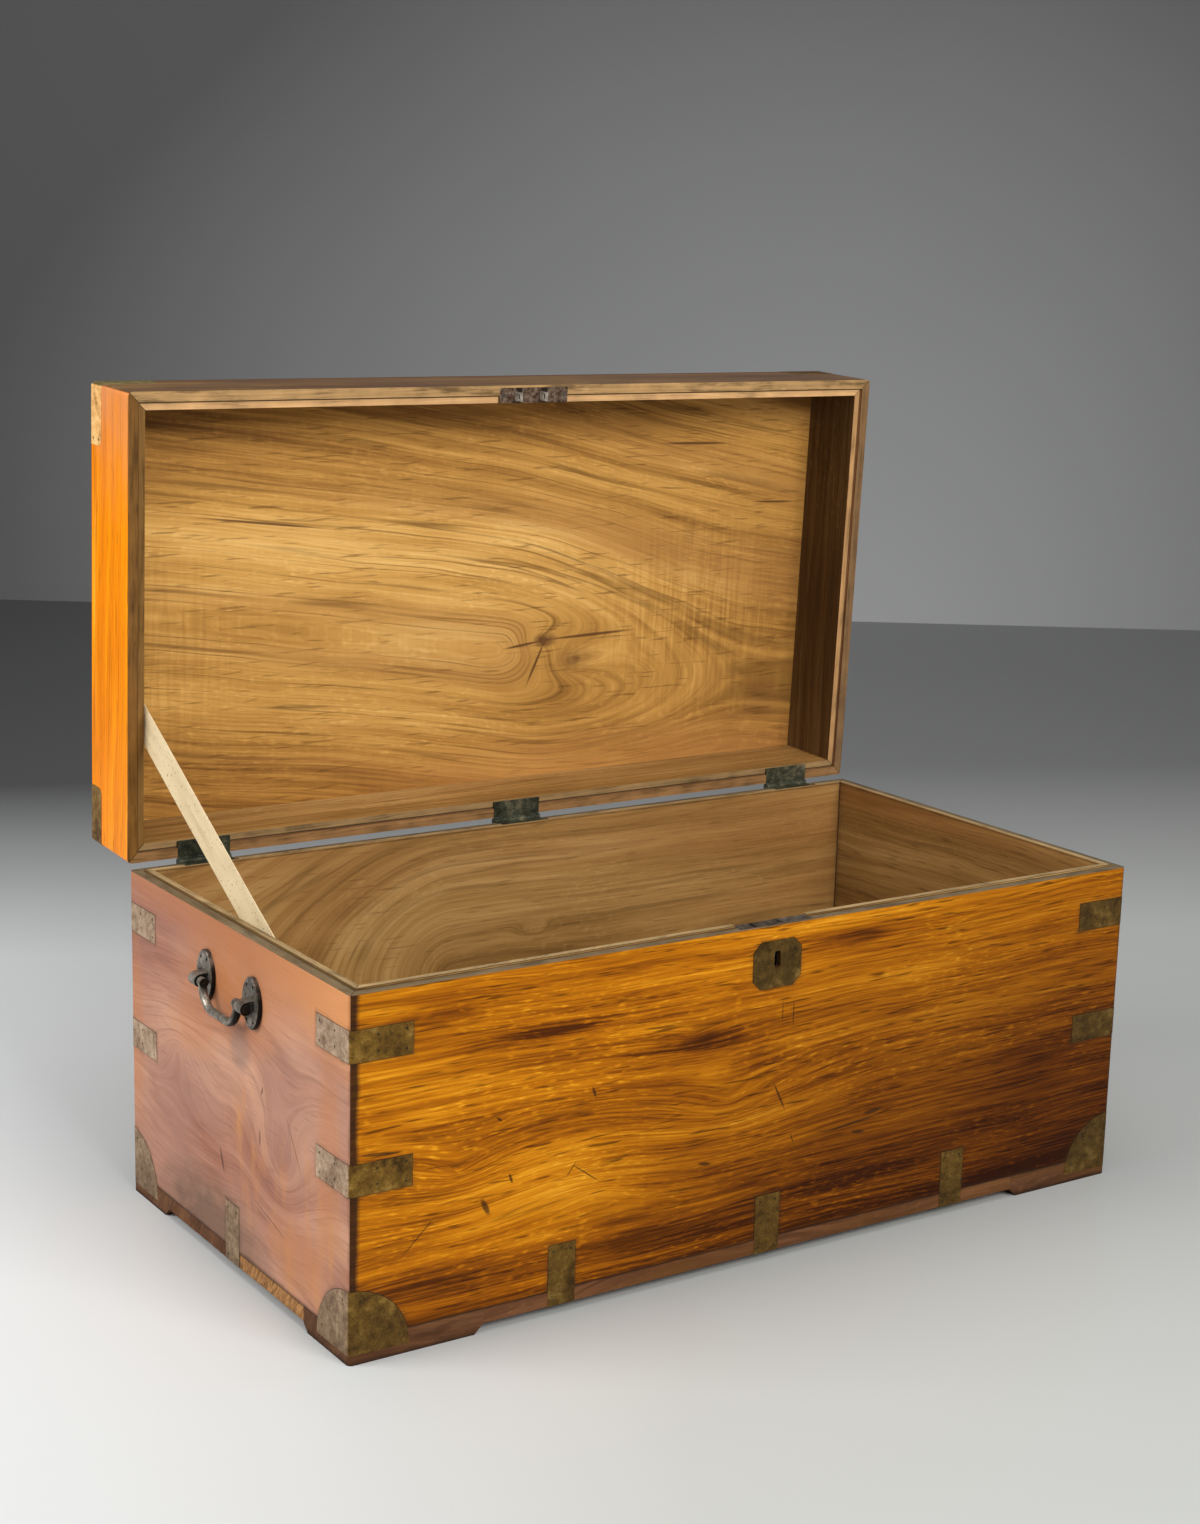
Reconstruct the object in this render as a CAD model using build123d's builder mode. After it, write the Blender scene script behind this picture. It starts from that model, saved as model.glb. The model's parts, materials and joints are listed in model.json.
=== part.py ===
from build123d import *
import os
from math import cos, radians, sin, tan

os.makedirs("parts", exist_ok=True)

# A camphor wood trunk, all lengths in millimetres, angles in degrees.
# The origin is on the floor, at the middle of the space that the open trunk takes.

# Case
case_width = 1000
case_depth = 516
case_height = 372
board = 12
lining = 8
corner_round = 5
lip = 2
base_board = 16
foot_height = 10
foot_length = 150
foot_width = 96
foot_slope = 10

# Lid
lid_height = 102.5
lid_panel = 12
lid_open_angle = 87.5
rim_gap = 0.6
lip_ease = 0.8
lip_recess = 3
lid_edge_round = 2

# Brass let into the wood
brass = 1.5
brass_proud = 0.3
strap_width = 32
strap_leg = 68
upper_strap_height = 321
lower_strap_height = 188
base_corner_radius = 66
base_strap_height = 65
base_strap_under = 40
base_strap_spacing = 259
lid_corner_leg = 67
lid_corner_drop = 29
lid_corner_curve = 8

# Hinges
hinge_length = 63.5
hinge_leaf = 19
hinge_leaf_thickness = 2
hinge_knuckle_radius = 4.5
hinge_pin_radius = 2
hinge_pin_out = 5
hinge_spacing = 409
hinge_knuckles = 5
knuckle_gap = 0.3
hinge_running = 0.05
notch_ease = 1

# Lock in the front board and the link plate in the lid
lock_width = 88
lock_height = 50
lock_back = 20
lock_front = 5
lock_sheet = 1.5
lock_plate_thickness = 2
selvage_length = 95
selvage_front = 2.5
link_length = 92
link_thickness = 3
loop_shift = -8
loop_spacing = 34
loop_thickness = 3
loop_width = 10
loop_drop = 14
loop_hole_width = 6.5
loop_hole_height = 7
loop_hole_drop = 8.6
loop_depth = 12
slot_ease = 1.1
bolt_thickness = 4
bolt_height = 11
bolt_below_rim = 27
bolt_left = 41
bolt_right = 31
bolt_travel = 7.5
hook_height = 4.6
hook_length = 11.5
hook_neck = 5
hook_ease = 1.5
stud_radius = 2
stud_running = 0.1
stud_collar_radius = 3.5
stud_head_radius = 3.2
stud_head = 1.2
bolt_ease = 0.2
stud_left = -30
stud_right = 12
talon_radius = 7
spring_sheet = 0.8
spring_length = 17
spring_ease = 0.4
drill_pin_radius = 2
drill_pin_below_rim = 32
keyhole_width = 8
keyhole_height = 18
keyhole_below_rim = 37
keyhole_round = 2
escutcheon_width = 62
escutcheon_height = 51
escutcheon_clip = 10
escutcheon_below_rim = 42

# Drop handles
handle_below_rim = 64
handle_plate_width = 37
handle_plate_height = 55
handle_plate_thickness = 5
handle_plate_curve = 12
handle_plate_edge = 0.6
handle_plate_spacing = 109
handle_screw_radius = 1.8
handle_screw_across = 14
handle_screw_along = 37
handle_pivot_out = 12.5
handle_pivot_below = 3
eye_radius = 6.8
eye_width = 15.5
hood_width = 21
hood_taper = 3.5
hood_above = 5.3
hood_thickness = 3.4
bail_pin_radius = 3.4
bail_running = 0.06
bail_collar_radius = 5.2
bail_collar_length = 8
bail_radius = 4.6
bail_drop = 25
bail_half_width = 41.2
bail_bend = 24
bail_pin_past = 0.6

# Tape stay on the left
tape_width = 36
tape_thickness = 1.2
tape_angle = 30.4
tape_below_rim = 34
tape_into_lid = 25
tape_crossing = 254

# Places worked out from the sizes
inside = board + lining
base_top = foot_height + base_board
rim = case_height + rim_gap
pin_height = case_height + rim_gap / 2
lid_reach = (
    hinge_pin_out * (1 - cos(radians(lid_open_angle)))
    + (lid_height + rim_gap / 2) * sin(radians(lid_open_angle))
)
case_middle = -lid_reach / 2
front = case_middle - case_depth / 2
back = case_middle + case_depth / 2
pin_back = back + hinge_pin_out
lid_board = board - lip_ease
lid_lining = lining + lip_ease
inlay_depth = brass - brass_proud
half_width = case_width / 2
hinge_places = [-hinge_spacing, 0, hinge_spacing]
loop_places = [loop_shift - loop_spacing / 2, loop_shift + loop_spacing / 2]
lock_middle = front + loop_depth
handle_height = case_height - handle_below_rim
pivot_height = handle_height - handle_pivot_below
sides = {"left": -1, "right": 1}
ends = {"front": -1, "back": 1}
corners = {(y + "_" + x): (sides[x], ends[y]) for y in ends for x in sides}

# The lid is drawn shut and swung open about the hinge pins.
lid_swing = (
    Pos(0, pin_back, pin_height)
    * Rot(X=-lid_open_angle)
    * Pos(0, -pin_back, -pin_height)
)


def on_lid(plane):
    """A plane of the shut lid, carried to where the open lid has it."""
    return Plane(lid_swing * plane.location)


def level(height):
    """A flat plane over the middle of the case."""
    return Plane((0, case_middle, height))


def lid_level(height):
    """A flat plane in the shut lid, at a height above its rim."""
    return on_lid(level(rim + height))


def wall_plane(side):
    """A plane on an outer face of the case at floor height, x along the face and y up."""
    faces = {
        "front": Plane((0, front, 0), x_dir=(1, 0, 0), z_dir=(0, -1, 0)),
        "back": Plane((0, back, 0), x_dir=(-1, 0, 0), z_dir=(0, 1, 0)),
        "left": Plane((-half_width, case_middle, 0), x_dir=(0, -1, 0), z_dir=(-1, 0, 0)),
        "right": Plane((half_width, case_middle, 0), x_dir=(0, 1, 0), z_dir=(1, 0, 0)),
    }
    return faces[side]


def save(piece, name):
    piece.part.label = name
    export_step(piece.part, f"parts/{name}.step")


def mitred_board(side, plane, inset, thickness, height, rounding, cuts):
    """One side of a mitred frame, its outer face inset from the case's own outline."""
    width = case_width - 2 * inset
    depth = case_depth - 2 * inset
    x, y = width / 2, depth / 2
    flip = -1 if side in ("front", "left") else 1
    if side in ends:
        wedge = [(-x, flip * y), (x, flip * y), (x - thickness, flip * (y - thickness))]
        wedge += [(thickness - x, flip * (y - thickness))]
    else:
        wedge = [(flip * x, -y), (flip * x, y), (flip * (x - thickness), y - thickness)]
        wedge += [(flip * (x - thickness), thickness - y)]
    with BuildPart() as piece:
        with BuildSketch(plane):
            if rounding:
                RectangleRounded(width, depth, rounding)
            else:
                Rectangle(width, depth)
            Rectangle(width - 2 * thickness, depth - 2 * thickness, mode=Mode.SUBTRACT)
            Polygon(*wedge, align=None, mode=Mode.INTERSECT)
        extrude(amount=height)
        for cut in cuts:
            add(cut.part, mode=Mode.SUBTRACT)
    return piece


def corner_band(plane, corner, leg, height):
    """Brass folded round an upright corner, a little proud of the wood."""
    across, along = corner
    outer = corner_round + brass_proud
    inner = corner_round - inlay_depth
    with BuildPart() as band:
        with BuildSketch(plane):
            RectangleRounded(
                case_width + 2 * brass_proud, case_depth + 2 * brass_proud, outer
            )
            RectangleRounded(
                case_width - 2 * inlay_depth,
                case_depth - 2 * inlay_depth,
                inner,
                mode=Mode.SUBTRACT,
            )
            with Locations((across * half_width, along * case_depth / 2)):
                Rectangle(2 * leg, 2 * leg, mode=Mode.INTERSECT)
        extrude(amount=height)
    return band


# Straps round the upright corners, two to a corner
corner_straps = {}
for name, corner in corners.items():
    strap_bottoms = [
        upper_strap_height - strap_width / 2,
        lower_strap_height - strap_width / 2,
    ]
    with BuildPart() as straps:
        for bottom in strap_bottoms:
            add(corner_band(level(bottom), corner, strap_leg, strap_width).part)
    save(straps, "corner_straps_" + name)
    corner_straps[name] = straps

# Fan plates at the bottom corners: a folded band cut to a quarter round on both faces
base_corners = {}
for name, corner in corners.items():
    across, along = corner
    with BuildPart() as fan:
        add(
            corner_band(
                level(foot_height), corner, base_corner_radius, base_corner_radius
            ).part
        )
        centre = (across * half_width, case_middle + along * case_depth / 2, foot_height)
        with BuildSketch(Plane(centre, x_dir=(1, 0, 0), z_dir=(0, -1, 0))):
            Circle(base_corner_radius)
        extrude(amount=2 * base_corner_radius, both=True, mode=Mode.INTERSECT)
        with BuildSketch(Plane(centre, x_dir=(0, 1, 0), z_dir=(1, 0, 0))):
            Circle(base_corner_radius)
        extrude(amount=2 * base_corner_radius, both=True, mode=Mode.INTERSECT)
    save(fan, "base_corner_" + name)
    base_corners[name] = fan


def base_straps(places):
    """Straps that tie the walls to the base board, folded under it."""
    with BuildPart() as straps:
        for side, along in places:
            face = wall_plane(side)
            low_edge = Plane(
                face.from_local_coords((along, foot_height - brass_proud, brass_proud)),
                x_dir=face.x_dir,
                z_dir=face.z_dir,
            )
            with BuildSketch(low_edge):
                Rectangle(
                    strap_width,
                    base_strap_height + brass_proud,
                    align=(Align.CENTER, Align.MIN),
                )
            extrude(amount=-brass)
            with BuildSketch(Plane(low_edge.origin, x_dir=face.x_dir, z_dir=(0, 0, 1))):
                Rectangle(
                    strap_width, base_strap_under, align=(Align.CENTER, Align.MIN)
                )
            extrude(amount=brass)
    return straps


strap_row = [-base_strap_spacing, 0, base_strap_spacing]
front_straps = base_straps([("front", x) for x in strap_row])
back_straps = base_straps([("back", x) for x in strap_row])
side_straps = base_straps([("left", 0), ("right", 0)])
save(front_straps, "base_straps_front")
save(back_straps, "base_straps_back")
save(side_straps, "base_straps_sides")


def keyhole(plane, depth):
    """The keyhole's slot as a solid to cut with, going in from a plane on the front."""
    with BuildPart() as slot:
        with BuildSketch(plane):
            with Locations((0, case_height - keyhole_below_rim)):
                RectangleRounded(keyhole_width, keyhole_height, keyhole_round)
        extrude(amount=-depth)
    return slot


# Keyhole plate, clipped at the corners
escutcheon_plane = wall_plane("front").offset(brass_proud)
with BuildPart() as escutcheon:
    with BuildSketch(escutcheon_plane) as outline:
        with Locations((0, case_height - escutcheon_below_rim)):
            Rectangle(escutcheon_width, escutcheon_height)
        chamfer(outline.vertices(), length=escutcheon_clip)
    extrude(amount=-brass)
    add(keyhole(escutcheon_plane, brass).part, mode=Mode.SUBTRACT)
save(escutcheon, "escutcheon")

key_way = keyhole(wall_plane("front"), lock_front + lock_sheet)


def hinge_bed(plane, height, ease):
    """The spaces that the three hinge leaves lie in, along the back of a rim."""
    with BuildPart() as bed:
        with BuildSketch(plane):
            with Locations([(x, case_depth / 2) for x in hinge_places]):
                Rectangle(hinge_length + 2 * ease, 2 * hinge_leaf)
        extrude(amount=height)
    return bed


def plate_outline(length):
    """The strip of rim that a lock or link plate covers, on a plane over the case."""
    with Locations((0, (selvage_front + lock_back) / 2 - case_depth / 2)):
        Rectangle(length, lock_back - selvage_front)


# The hollow that the lock sits in, with the bed of its top plate and the cut in the lip
with BuildPart() as lock_space:
    with BuildSketch(wall_plane("front").offset(-lock_back)):
        with Locations((0, case_height - lock_height / 2)):
            Rectangle(lock_width, lock_height)
    extrude(amount=lock_back - lock_front)
    with BuildSketch(level(case_height - lock_plate_thickness)):
        plate_outline(selvage_length)
    extrude(amount=lock_plate_thickness + lip)

# Case walls and their linings
beds = hinge_bed(
    level(case_height - hinge_leaf_thickness), hinge_leaf_thickness + lip, 0
)
lining_beds = hinge_bed(
    level(case_height - hinge_leaf_thickness), hinge_leaf_thickness + lip, notch_ease
)
wall_fittings = {
    "front": [front_straps, escutcheon, key_way, lock_space],
    "back": [back_straps, beds],
    "left": [side_straps],
    "right": [side_straps],
}
lining_fittings = {
    "front": [lock_space],
    "back": [lining_beds],
    "left": [],
    "right": [],
}
for side in wall_fittings:
    near = [name for name in corners if side in name]
    cuts = [corner_straps[name] for name in near] + [base_corners[name] for name in near]
    wall = mitred_board(
        side,
        level(base_top),
        0,
        board,
        case_height - base_top,
        corner_round,
        wall_fittings[side] + cuts,
    )
    save(wall, side + "_board")
    wall = mitred_board(
        side,
        level(base_top),
        board,
        lining,
        case_height + lip - base_top,
        0,
        lining_fittings[side],
    )
    save(wall, side + "_lining")

# Base board, let in between four corner blocks that are the feet
with BuildPart() as base:
    with BuildSketch(level(foot_height)):
        Rectangle(case_width, case_depth)
        with GridLocations(case_width, case_depth, 2, 2):
            Rectangle(2 * foot_length, 2 * foot_width, mode=Mode.SUBTRACT)
    extrude(amount=base_board)
    for straps in (front_straps, back_straps, side_straps):
        add(straps.part, mode=Mode.SUBTRACT)
save(base, "base_board")

for name, (across, along) in corners.items():
    with BuildPart() as foot:
        for height, cut_back in ((0, foot_slope), (foot_height, 0)):
            length = foot_length - cut_back
            width = foot_width - cut_back
            with BuildSketch(level(height)):
                with Locations(
                    (
                        across * (case_width - length) / 2,
                        along * (case_depth - width) / 2,
                    )
                ):
                    Rectangle(length, width)
        loft()
        with BuildSketch(level(foot_height)):
            with Locations(
                (
                    across * (case_width - foot_length) / 2,
                    along * (case_depth - foot_width) / 2,
                )
            ):
                Rectangle(foot_length, foot_width)
        extrude(amount=base_board)
        with BuildSketch(level(0)):
            RectangleRounded(case_width, case_depth, corner_round)
        extrude(amount=base_top, mode=Mode.INTERSECT)
        add(base_corners[name].part, mode=Mode.SUBTRACT)
    save(foot, "foot_" + name)

# Lock: a folded plate with two guide studs, a box, the bolt and its spring, the drill pin
lock_face = wall_plane("front").offset(lock_plate_thickness - lock_back)
bolt_bottom = case_height - bolt_below_rim
bolt_middle = bolt_bottom + bolt_height / 2
bolt_top = bolt_bottom + bolt_height
hook_middle = rim - loop_hole_drop
lock_deep = lock_back - lock_plate_thickness
with BuildPart() as lock_plate:
    with BuildSketch(lock_face):
        with Locations((0, case_height - lock_height / 2)):
            Rectangle(lock_width, lock_height)
    extrude(amount=-lock_plate_thickness)
    with BuildSketch(level(case_height - lock_plate_thickness)):
        plate_outline(selvage_length)
        with Locations([(x, loop_depth - case_depth / 2) for x in loop_places]):
            Rectangle(
                loop_thickness + 2 * slot_ease,
                loop_width + 2 * slot_ease,
                mode=Mode.SUBTRACT,
            )
    extrude(amount=lock_plate_thickness)
    bolt_back = lock_deep - loop_depth - bolt_thickness / 2
    bolt_front = bolt_back + bolt_thickness
    for start, radius, length in (
        (0, stud_radius, bolt_front + bolt_ease),
        (0, stud_collar_radius, bolt_back - bolt_ease),
        (bolt_front + bolt_ease, stud_head_radius, stud_head),
    ):
        with BuildSketch(lock_face.offset(start)):
            with Locations((stud_left, bolt_middle), (stud_right, bolt_middle)):
                Circle(radius)
        extrude(amount=length)
save(lock_plate, "lock_plate")

with BuildPart() as lock_box:
    with BuildSketch(lock_face):
        with Locations((0, case_height - lock_plate_thickness)):
            Rectangle(
                lock_width,
                lock_height - lock_plate_thickness,
                align=(Align.CENTER, Align.MAX),
            )
    extrude(amount=lock_deep - lock_front)
    with BuildSketch(lock_face):
        with Locations((0, case_height - lock_plate_thickness)):
            Rectangle(
                lock_width - 2 * lock_sheet,
                lock_height - lock_plate_thickness - lock_sheet,
                align=(Align.CENTER, Align.MAX),
            )
    extrude(amount=lock_deep - lock_front - lock_sheet, mode=Mode.SUBTRACT)
    add(key_way.part, mode=Mode.SUBTRACT)
save(lock_box, "lock_box")

with BuildPart() as drill_pin:
    with BuildSketch(lock_face):
        with Locations((0, case_height - drill_pin_below_rim)):
            Circle(drill_pin_radius)
    extrude(amount=lock_deep - lock_front - lock_sheet)
save(drill_pin, "drill_pin")

bolt_face = wall_plane("front").offset(-loop_depth - bolt_thickness / 2)
with BuildPart() as lock_bolt:
    with BuildSketch(bolt_face):
        with Locations(((bolt_right - bolt_left) / 2, bolt_middle)):
            Rectangle(bolt_right + bolt_left, bolt_height)
        for loop_x in loop_places:
            hook_tip = loop_x - loop_thickness / 2 - hook_ease
            with Locations((hook_tip - hook_length, hook_middle)):
                Rectangle(hook_length, hook_height, align=(Align.MIN, Align.CENTER))
            with Locations((hook_tip - hook_length, bolt_middle)):
                Rectangle(
                    hook_neck,
                    hook_middle + hook_height / 2 - bolt_middle,
                    align=(Align.MIN, Align.MIN),
                )
        with Locations(
            (stud_left - bolt_travel / 2, bolt_middle),
            (stud_right - bolt_travel / 2, bolt_middle),
        ):
            SlotCenterToCenter(
                bolt_travel, 2 * (stud_radius + stud_running), mode=Mode.SUBTRACT
            )
        with Locations((-bolt_travel / 2, bolt_bottom)):
            Circle(talon_radius, mode=Mode.SUBTRACT)
    extrude(amount=bolt_thickness)
save(lock_bolt, "lock_bolt")

spring_rise = case_height - lock_plate_thickness - spring_ease - bolt_top
with BuildPart() as bolt_spring:
    with BuildSketch(bolt_face):
        with BuildLine():
            outer = ThreePointArc(
                (bolt_right - spring_length, bolt_top),
                (bolt_right - spring_length / 2, bolt_top + spring_rise),
                (bolt_right, bolt_top),
            )
            inner = ThreePointArc(
                (bolt_right - spring_length + spring_sheet, bolt_top),
                (bolt_right - spring_length / 2, bolt_top + spring_rise - spring_sheet),
                (bolt_right - spring_sheet, bolt_top),
            )
            Line(outer @ 0, inner @ 0)
            Line(outer @ 1, inner @ 1)
        make_face()
    extrude(amount=bolt_thickness)
save(bolt_spring, "bolt_spring")

# Hinges: leaves in the two rims, turning on pins just behind the case
knuckle_pitch = hinge_length / hinge_knuckles
case_knuckles = range(0, hinge_knuckles, 2)
lid_knuckles = range(1, hinge_knuckles, 2)


def knuckle_row(carry, x, numbers, radius, length):
    """Round stretches about the pin's axis, one to each numbered knuckle of a hinge."""
    with BuildPart() as row:
        for n in numbers:
            start = x - hinge_length / 2 + (n + 0.5) * knuckle_pitch - length / 2
            with BuildSketch(carry(Plane.YZ.offset(start))):
                with Locations((pin_back, pin_height)):
                    Circle(radius)
            extrude(amount=length)
    return row


def hinge_leaves(carry, bottom, own, others, bore):
    with BuildPart() as leaves:
        with BuildSketch(carry(level(bottom))):
            for x in hinge_places:
                with Locations((x, case_depth / 2 - hinge_leaf)):
                    Rectangle(
                        hinge_length,
                        hinge_leaf + hinge_pin_out,
                        align=(Align.CENTER, Align.MIN),
                    )
        extrude(amount=hinge_leaf_thickness)
        for x in hinge_places:
            space = knuckle_row(
                carry,
                x,
                others,
                hinge_knuckle_radius + knuckle_gap,
                knuckle_pitch + knuckle_gap,
            )
            add(space.part, mode=Mode.SUBTRACT)
            knuckles = knuckle_row(
                carry, x, own, hinge_knuckle_radius, knuckle_pitch - knuckle_gap
            )
            add(knuckles.part)
            hole = knuckle_row(carry, x, own, bore, knuckle_pitch)
            add(hole.part, mode=Mode.SUBTRACT)
    return leaves


def unmoved(plane):
    return plane


case_leaves = hinge_leaves(
    unmoved,
    case_height - hinge_leaf_thickness,
    case_knuckles,
    lid_knuckles,
    hinge_pin_radius,
)
save(case_leaves, "hinge_case_leaves")
lid_leaves = hinge_leaves(
    on_lid, rim, lid_knuckles, case_knuckles, hinge_pin_radius + hinge_running
)
save(lid_leaves, "hinge_lid_leaves")

with BuildPart() as hinge_pins:
    for x in hinge_places:
        with BuildSketch(Plane.YZ.offset(x - hinge_length / 2)):
            with Locations((pin_back, pin_height)):
                Circle(hinge_pin_radius)
        extrude(amount=hinge_length)
save(hinge_pins, "hinge_pins")


# Drop handles: a bail between two plates on each side
def across_plane(face, along, out, height):
    """A plane that cuts across a wall, x outward and y up, facing back along the wall."""
    return Plane(
        face.from_local_coords((along, height, out)),
        x_dir=face.z_dir,
        z_dir=-face.x_dir,
    )


def pin_eye(face, along):
    """The eye that a bail's pin turns in, under a hood that widens to the plate."""
    root = handle_plate_thickness - handle_plate_edge
    hood_top = handle_pivot_below + hood_above
    with BuildPart() as eye:
        with BuildSketch(across_plane(face, along, handle_pivot_out, pivot_height)):
            Circle(eye_radius)
            Polygon(
                (root - handle_pivot_out, hood_top),
                (0, eye_radius),
                (0, eye_radius - hood_thickness),
                (root - handle_pivot_out, hood_top - hood_thickness),
                align=None,
            )
            Circle(bail_pin_radius + bail_running, mode=Mode.SUBTRACT)
        extrude(amount=hood_width / 2, both=True)
        flare = handle_plate_thickness + hood_taper
        tip = handle_pivot_out + eye_radius
        with BuildSketch(
            Plane(
                face.from_local_coords((along, pivot_height, 0)),
                x_dir=face.x_dir,
                z_dir=(0, 0, -1),
            )
        ):
            Polygon(
                (-hood_width / 2, root),
                (-hood_width / 2, handle_plate_thickness),
                (-eye_width / 2, flare),
                (-eye_width / 2, tip),
                (eye_width / 2, tip),
                (eye_width / 2, flare),
                (hood_width / 2, handle_plate_thickness),
                (hood_width / 2, root),
                align=None,
            )
        extrude(amount=handle_plate_height, both=True, mode=Mode.INTERSECT)
    return eye


def handle_plate(face, along):
    """An oval plate of four arcs, with its eye and its four screw holes."""
    half_high = handle_plate_height / 2
    half_wide = handle_plate_width / 2
    rise = half_high - handle_plate_curve
    reach = half_wide - handle_plate_curve
    side_centre = (rise**2 - reach**2) / (2 * reach)
    side_radius = half_wide + side_centre
    share = side_radius / (side_radius - handle_plate_curve)
    turn_x = side_centre * (share - 1)
    turn_y = rise * share
    eye = pin_eye(face, along)
    seat = Plane(
        face.from_local_coords((along, handle_height, 0)),
        x_dir=face.x_dir,
        z_dir=face.z_dir,
    )
    with BuildPart() as plate:
        with BuildSketch(seat):
            with BuildLine():
                ThreePointArc((-turn_x, turn_y), (0, half_high), (turn_x, turn_y))
                ThreePointArc((turn_x, turn_y), (half_wide, 0), (turn_x, -turn_y))
                ThreePointArc((turn_x, -turn_y), (0, -half_high), (-turn_x, -turn_y))
                ThreePointArc((-turn_x, -turn_y), (-half_wide, 0), (-turn_x, turn_y))
            make_face()
        extrude(amount=handle_plate_thickness)
        outer_face = plate.faces().sort_by(Axis((0, 0, 0), face.z_dir))[-1]
        chamfer(outer_face.edges(), length=handle_plate_edge)
        add(eye.part)
        with BuildSketch(seat):
            with GridLocations(handle_screw_across, handle_screw_along, 2, 2):
                Circle(handle_screw_radius)
        extrude(amount=handle_plate_thickness, mode=Mode.SUBTRACT)
    return plate


def drop_bail(face):
    pivot = Plane(
        face.from_local_coords((0, pivot_height, handle_pivot_out)),
        x_dir=face.x_dir,
        z_dir=face.z_dir,
    )
    pin_end = handle_plate_spacing / 2 + eye_width / 2 + bail_pin_past
    with BuildPart() as bail:
        with BuildLine(pivot) as route:
            FilletPolyline(
                (-bail_half_width, 0),
                (-bail_half_width, -bail_drop),
                (bail_half_width, -bail_drop),
                (bail_half_width, 0),
                radius=bail_bend,
            )
        with BuildSketch(route.line ^ 0):
            Circle(bail_radius)
        sweep()
        for end in (-1, 1):
            elbow = Plane(
                pivot.from_local_coords((end * bail_half_width, 0, 0)),
                x_dir=face.z_dir,
                z_dir=end * face.x_dir,
            )
            with BuildSketch(elbow):
                Circle(bail_collar_radius)
            extrude(amount=bail_collar_length / 2, both=True)
            with BuildSketch(elbow):
                Circle(bail_pin_radius)
            extrude(amount=pin_end - bail_half_width)
    return bail


for side in sides:
    face = wall_plane(side)
    toward_front = 1 if side == "left" else -1
    for name, place in (("front", toward_front), ("back", -toward_front)):
        plate = handle_plate(face, place * handle_plate_spacing / 2)
        save(plate, f"handle_plate_{side}_{name}")
    save(drop_bail(face), side + "_bail")


# Brass corners of the lid: a thin cap over the lid, cut to what lies near each corner
def lid_cap(grow):
    """The lid's own outer shape, grown by a little on all its faces."""
    with BuildPart() as cap:
        with BuildSketch(lid_level(lid_height - 2 * lid_corner_drop)):
            RectangleRounded(
                case_width + 2 * grow, case_depth + 2 * grow, corner_round + grow
            )
        extrude(amount=2 * lid_corner_drop + grow)
        top = cap.faces().sort_by(Axis((0, 0, 0), lid_level(0).z_dir))[-1]
        fillet(top.edges(), radius=lid_edge_round + grow)
    return cap


outer_cap = lid_cap(brass_proud)
inner_cap = lid_cap(-inlay_depth)
lid_corners = {}
for name, (across, along) in corners.items():
    corner_x = across * half_width
    corner_y = case_middle + along * case_depth / 2
    lid_top = rim + lid_height
    with BuildPart() as cover:
        add(outer_cap.part)
        add(inner_cap.part, mode=Mode.SUBTRACT)
        with BuildSketch(on_lid(Plane((corner_x, corner_y, lid_top)))):
            Circle(lid_corner_leg)
        extrude(amount=lid_height, both=True, mode=Mode.INTERSECT)
        for direction, turned in (((0, -1, 0), (1, 0, 0)), ((1, 0, 0), (0, 1, 0))):
            side_view = Plane((corner_x, corner_y, lid_top), x_dir=turned, z_dir=direction)
            with BuildSketch(on_lid(side_view)):
                RectangleRounded(2 * lid_corner_leg, 2 * lid_corner_drop, lid_corner_curve)
            extrude(amount=2 * lid_corner_leg, both=True, mode=Mode.INTERSECT)
    save(cover, "lid_corner_" + name)
    lid_corners[name] = cover

# Link plate in the lid's front rail, with the two loops that the bolt's hooks enter
with BuildPart() as link_bed:
    with BuildSketch(lid_level(0)):
        plate_outline(link_length)
    extrude(amount=link_thickness)

with BuildPart() as link_plate:
    with BuildSketch(lid_level(0)):
        plate_outline(link_length)
    extrude(amount=link_thickness)
    for loop_x in loop_places:
        with BuildSketch(on_lid(Plane.YZ.offset(loop_x - loop_thickness / 2))):
            with Locations((lock_middle, rim - loop_drop)):
                Rectangle(
                    loop_width,
                    loop_drop + link_thickness / 2,
                    align=(Align.CENTER, Align.MIN),
                )
            with Locations((lock_middle, rim - loop_hole_drop)):
                RectangleRounded(
                    loop_hole_width,
                    loop_hole_height,
                    loop_hole_width / 4,
                    mode=Mode.SUBTRACT,
                )
        extrude(amount=loop_thickness)
save(link_plate, "lid_link_plate")

# Lid: four mitred rails with a recessed lining, under a solid panel
lid_beds = hinge_bed(lid_level(0), hinge_leaf_thickness, 0)
rail_fittings = {"front": [link_bed], "back": [lid_beds], "left": [], "right": []}
for side in rail_fittings:
    cuts = [lid_corners[name] for name in corners if side in name]
    rail = mitred_board(
        side,
        lid_level(0),
        0,
        lid_board,
        lid_height - lid_panel,
        corner_round,
        rail_fittings[side] + cuts,
    )
    save(rail, "lid_rail_" + side)
    rail = mitred_board(
        side,
        lid_level(lip_recess),
        lid_board,
        lid_lining,
        lid_height - lid_panel - lip_recess,
        0,
        [],
    )
    save(rail, "lid_lining_" + side)

with BuildPart() as panel:
    with BuildSketch(lid_level(lid_height - lid_panel)):
        RectangleRounded(case_width, case_depth, corner_round)
    extrude(amount=lid_panel)
    panel_top = panel.faces().sort_by(Axis((0, 0, 0), lid_level(0).z_dir))[-1]
    fillet(panel_top.edges(), radius=lid_edge_round)
    for cover in lid_corners.values():
        add(cover.part, mode=Mode.SUBTRACT)
save(panel, "lid_panel")

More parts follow.
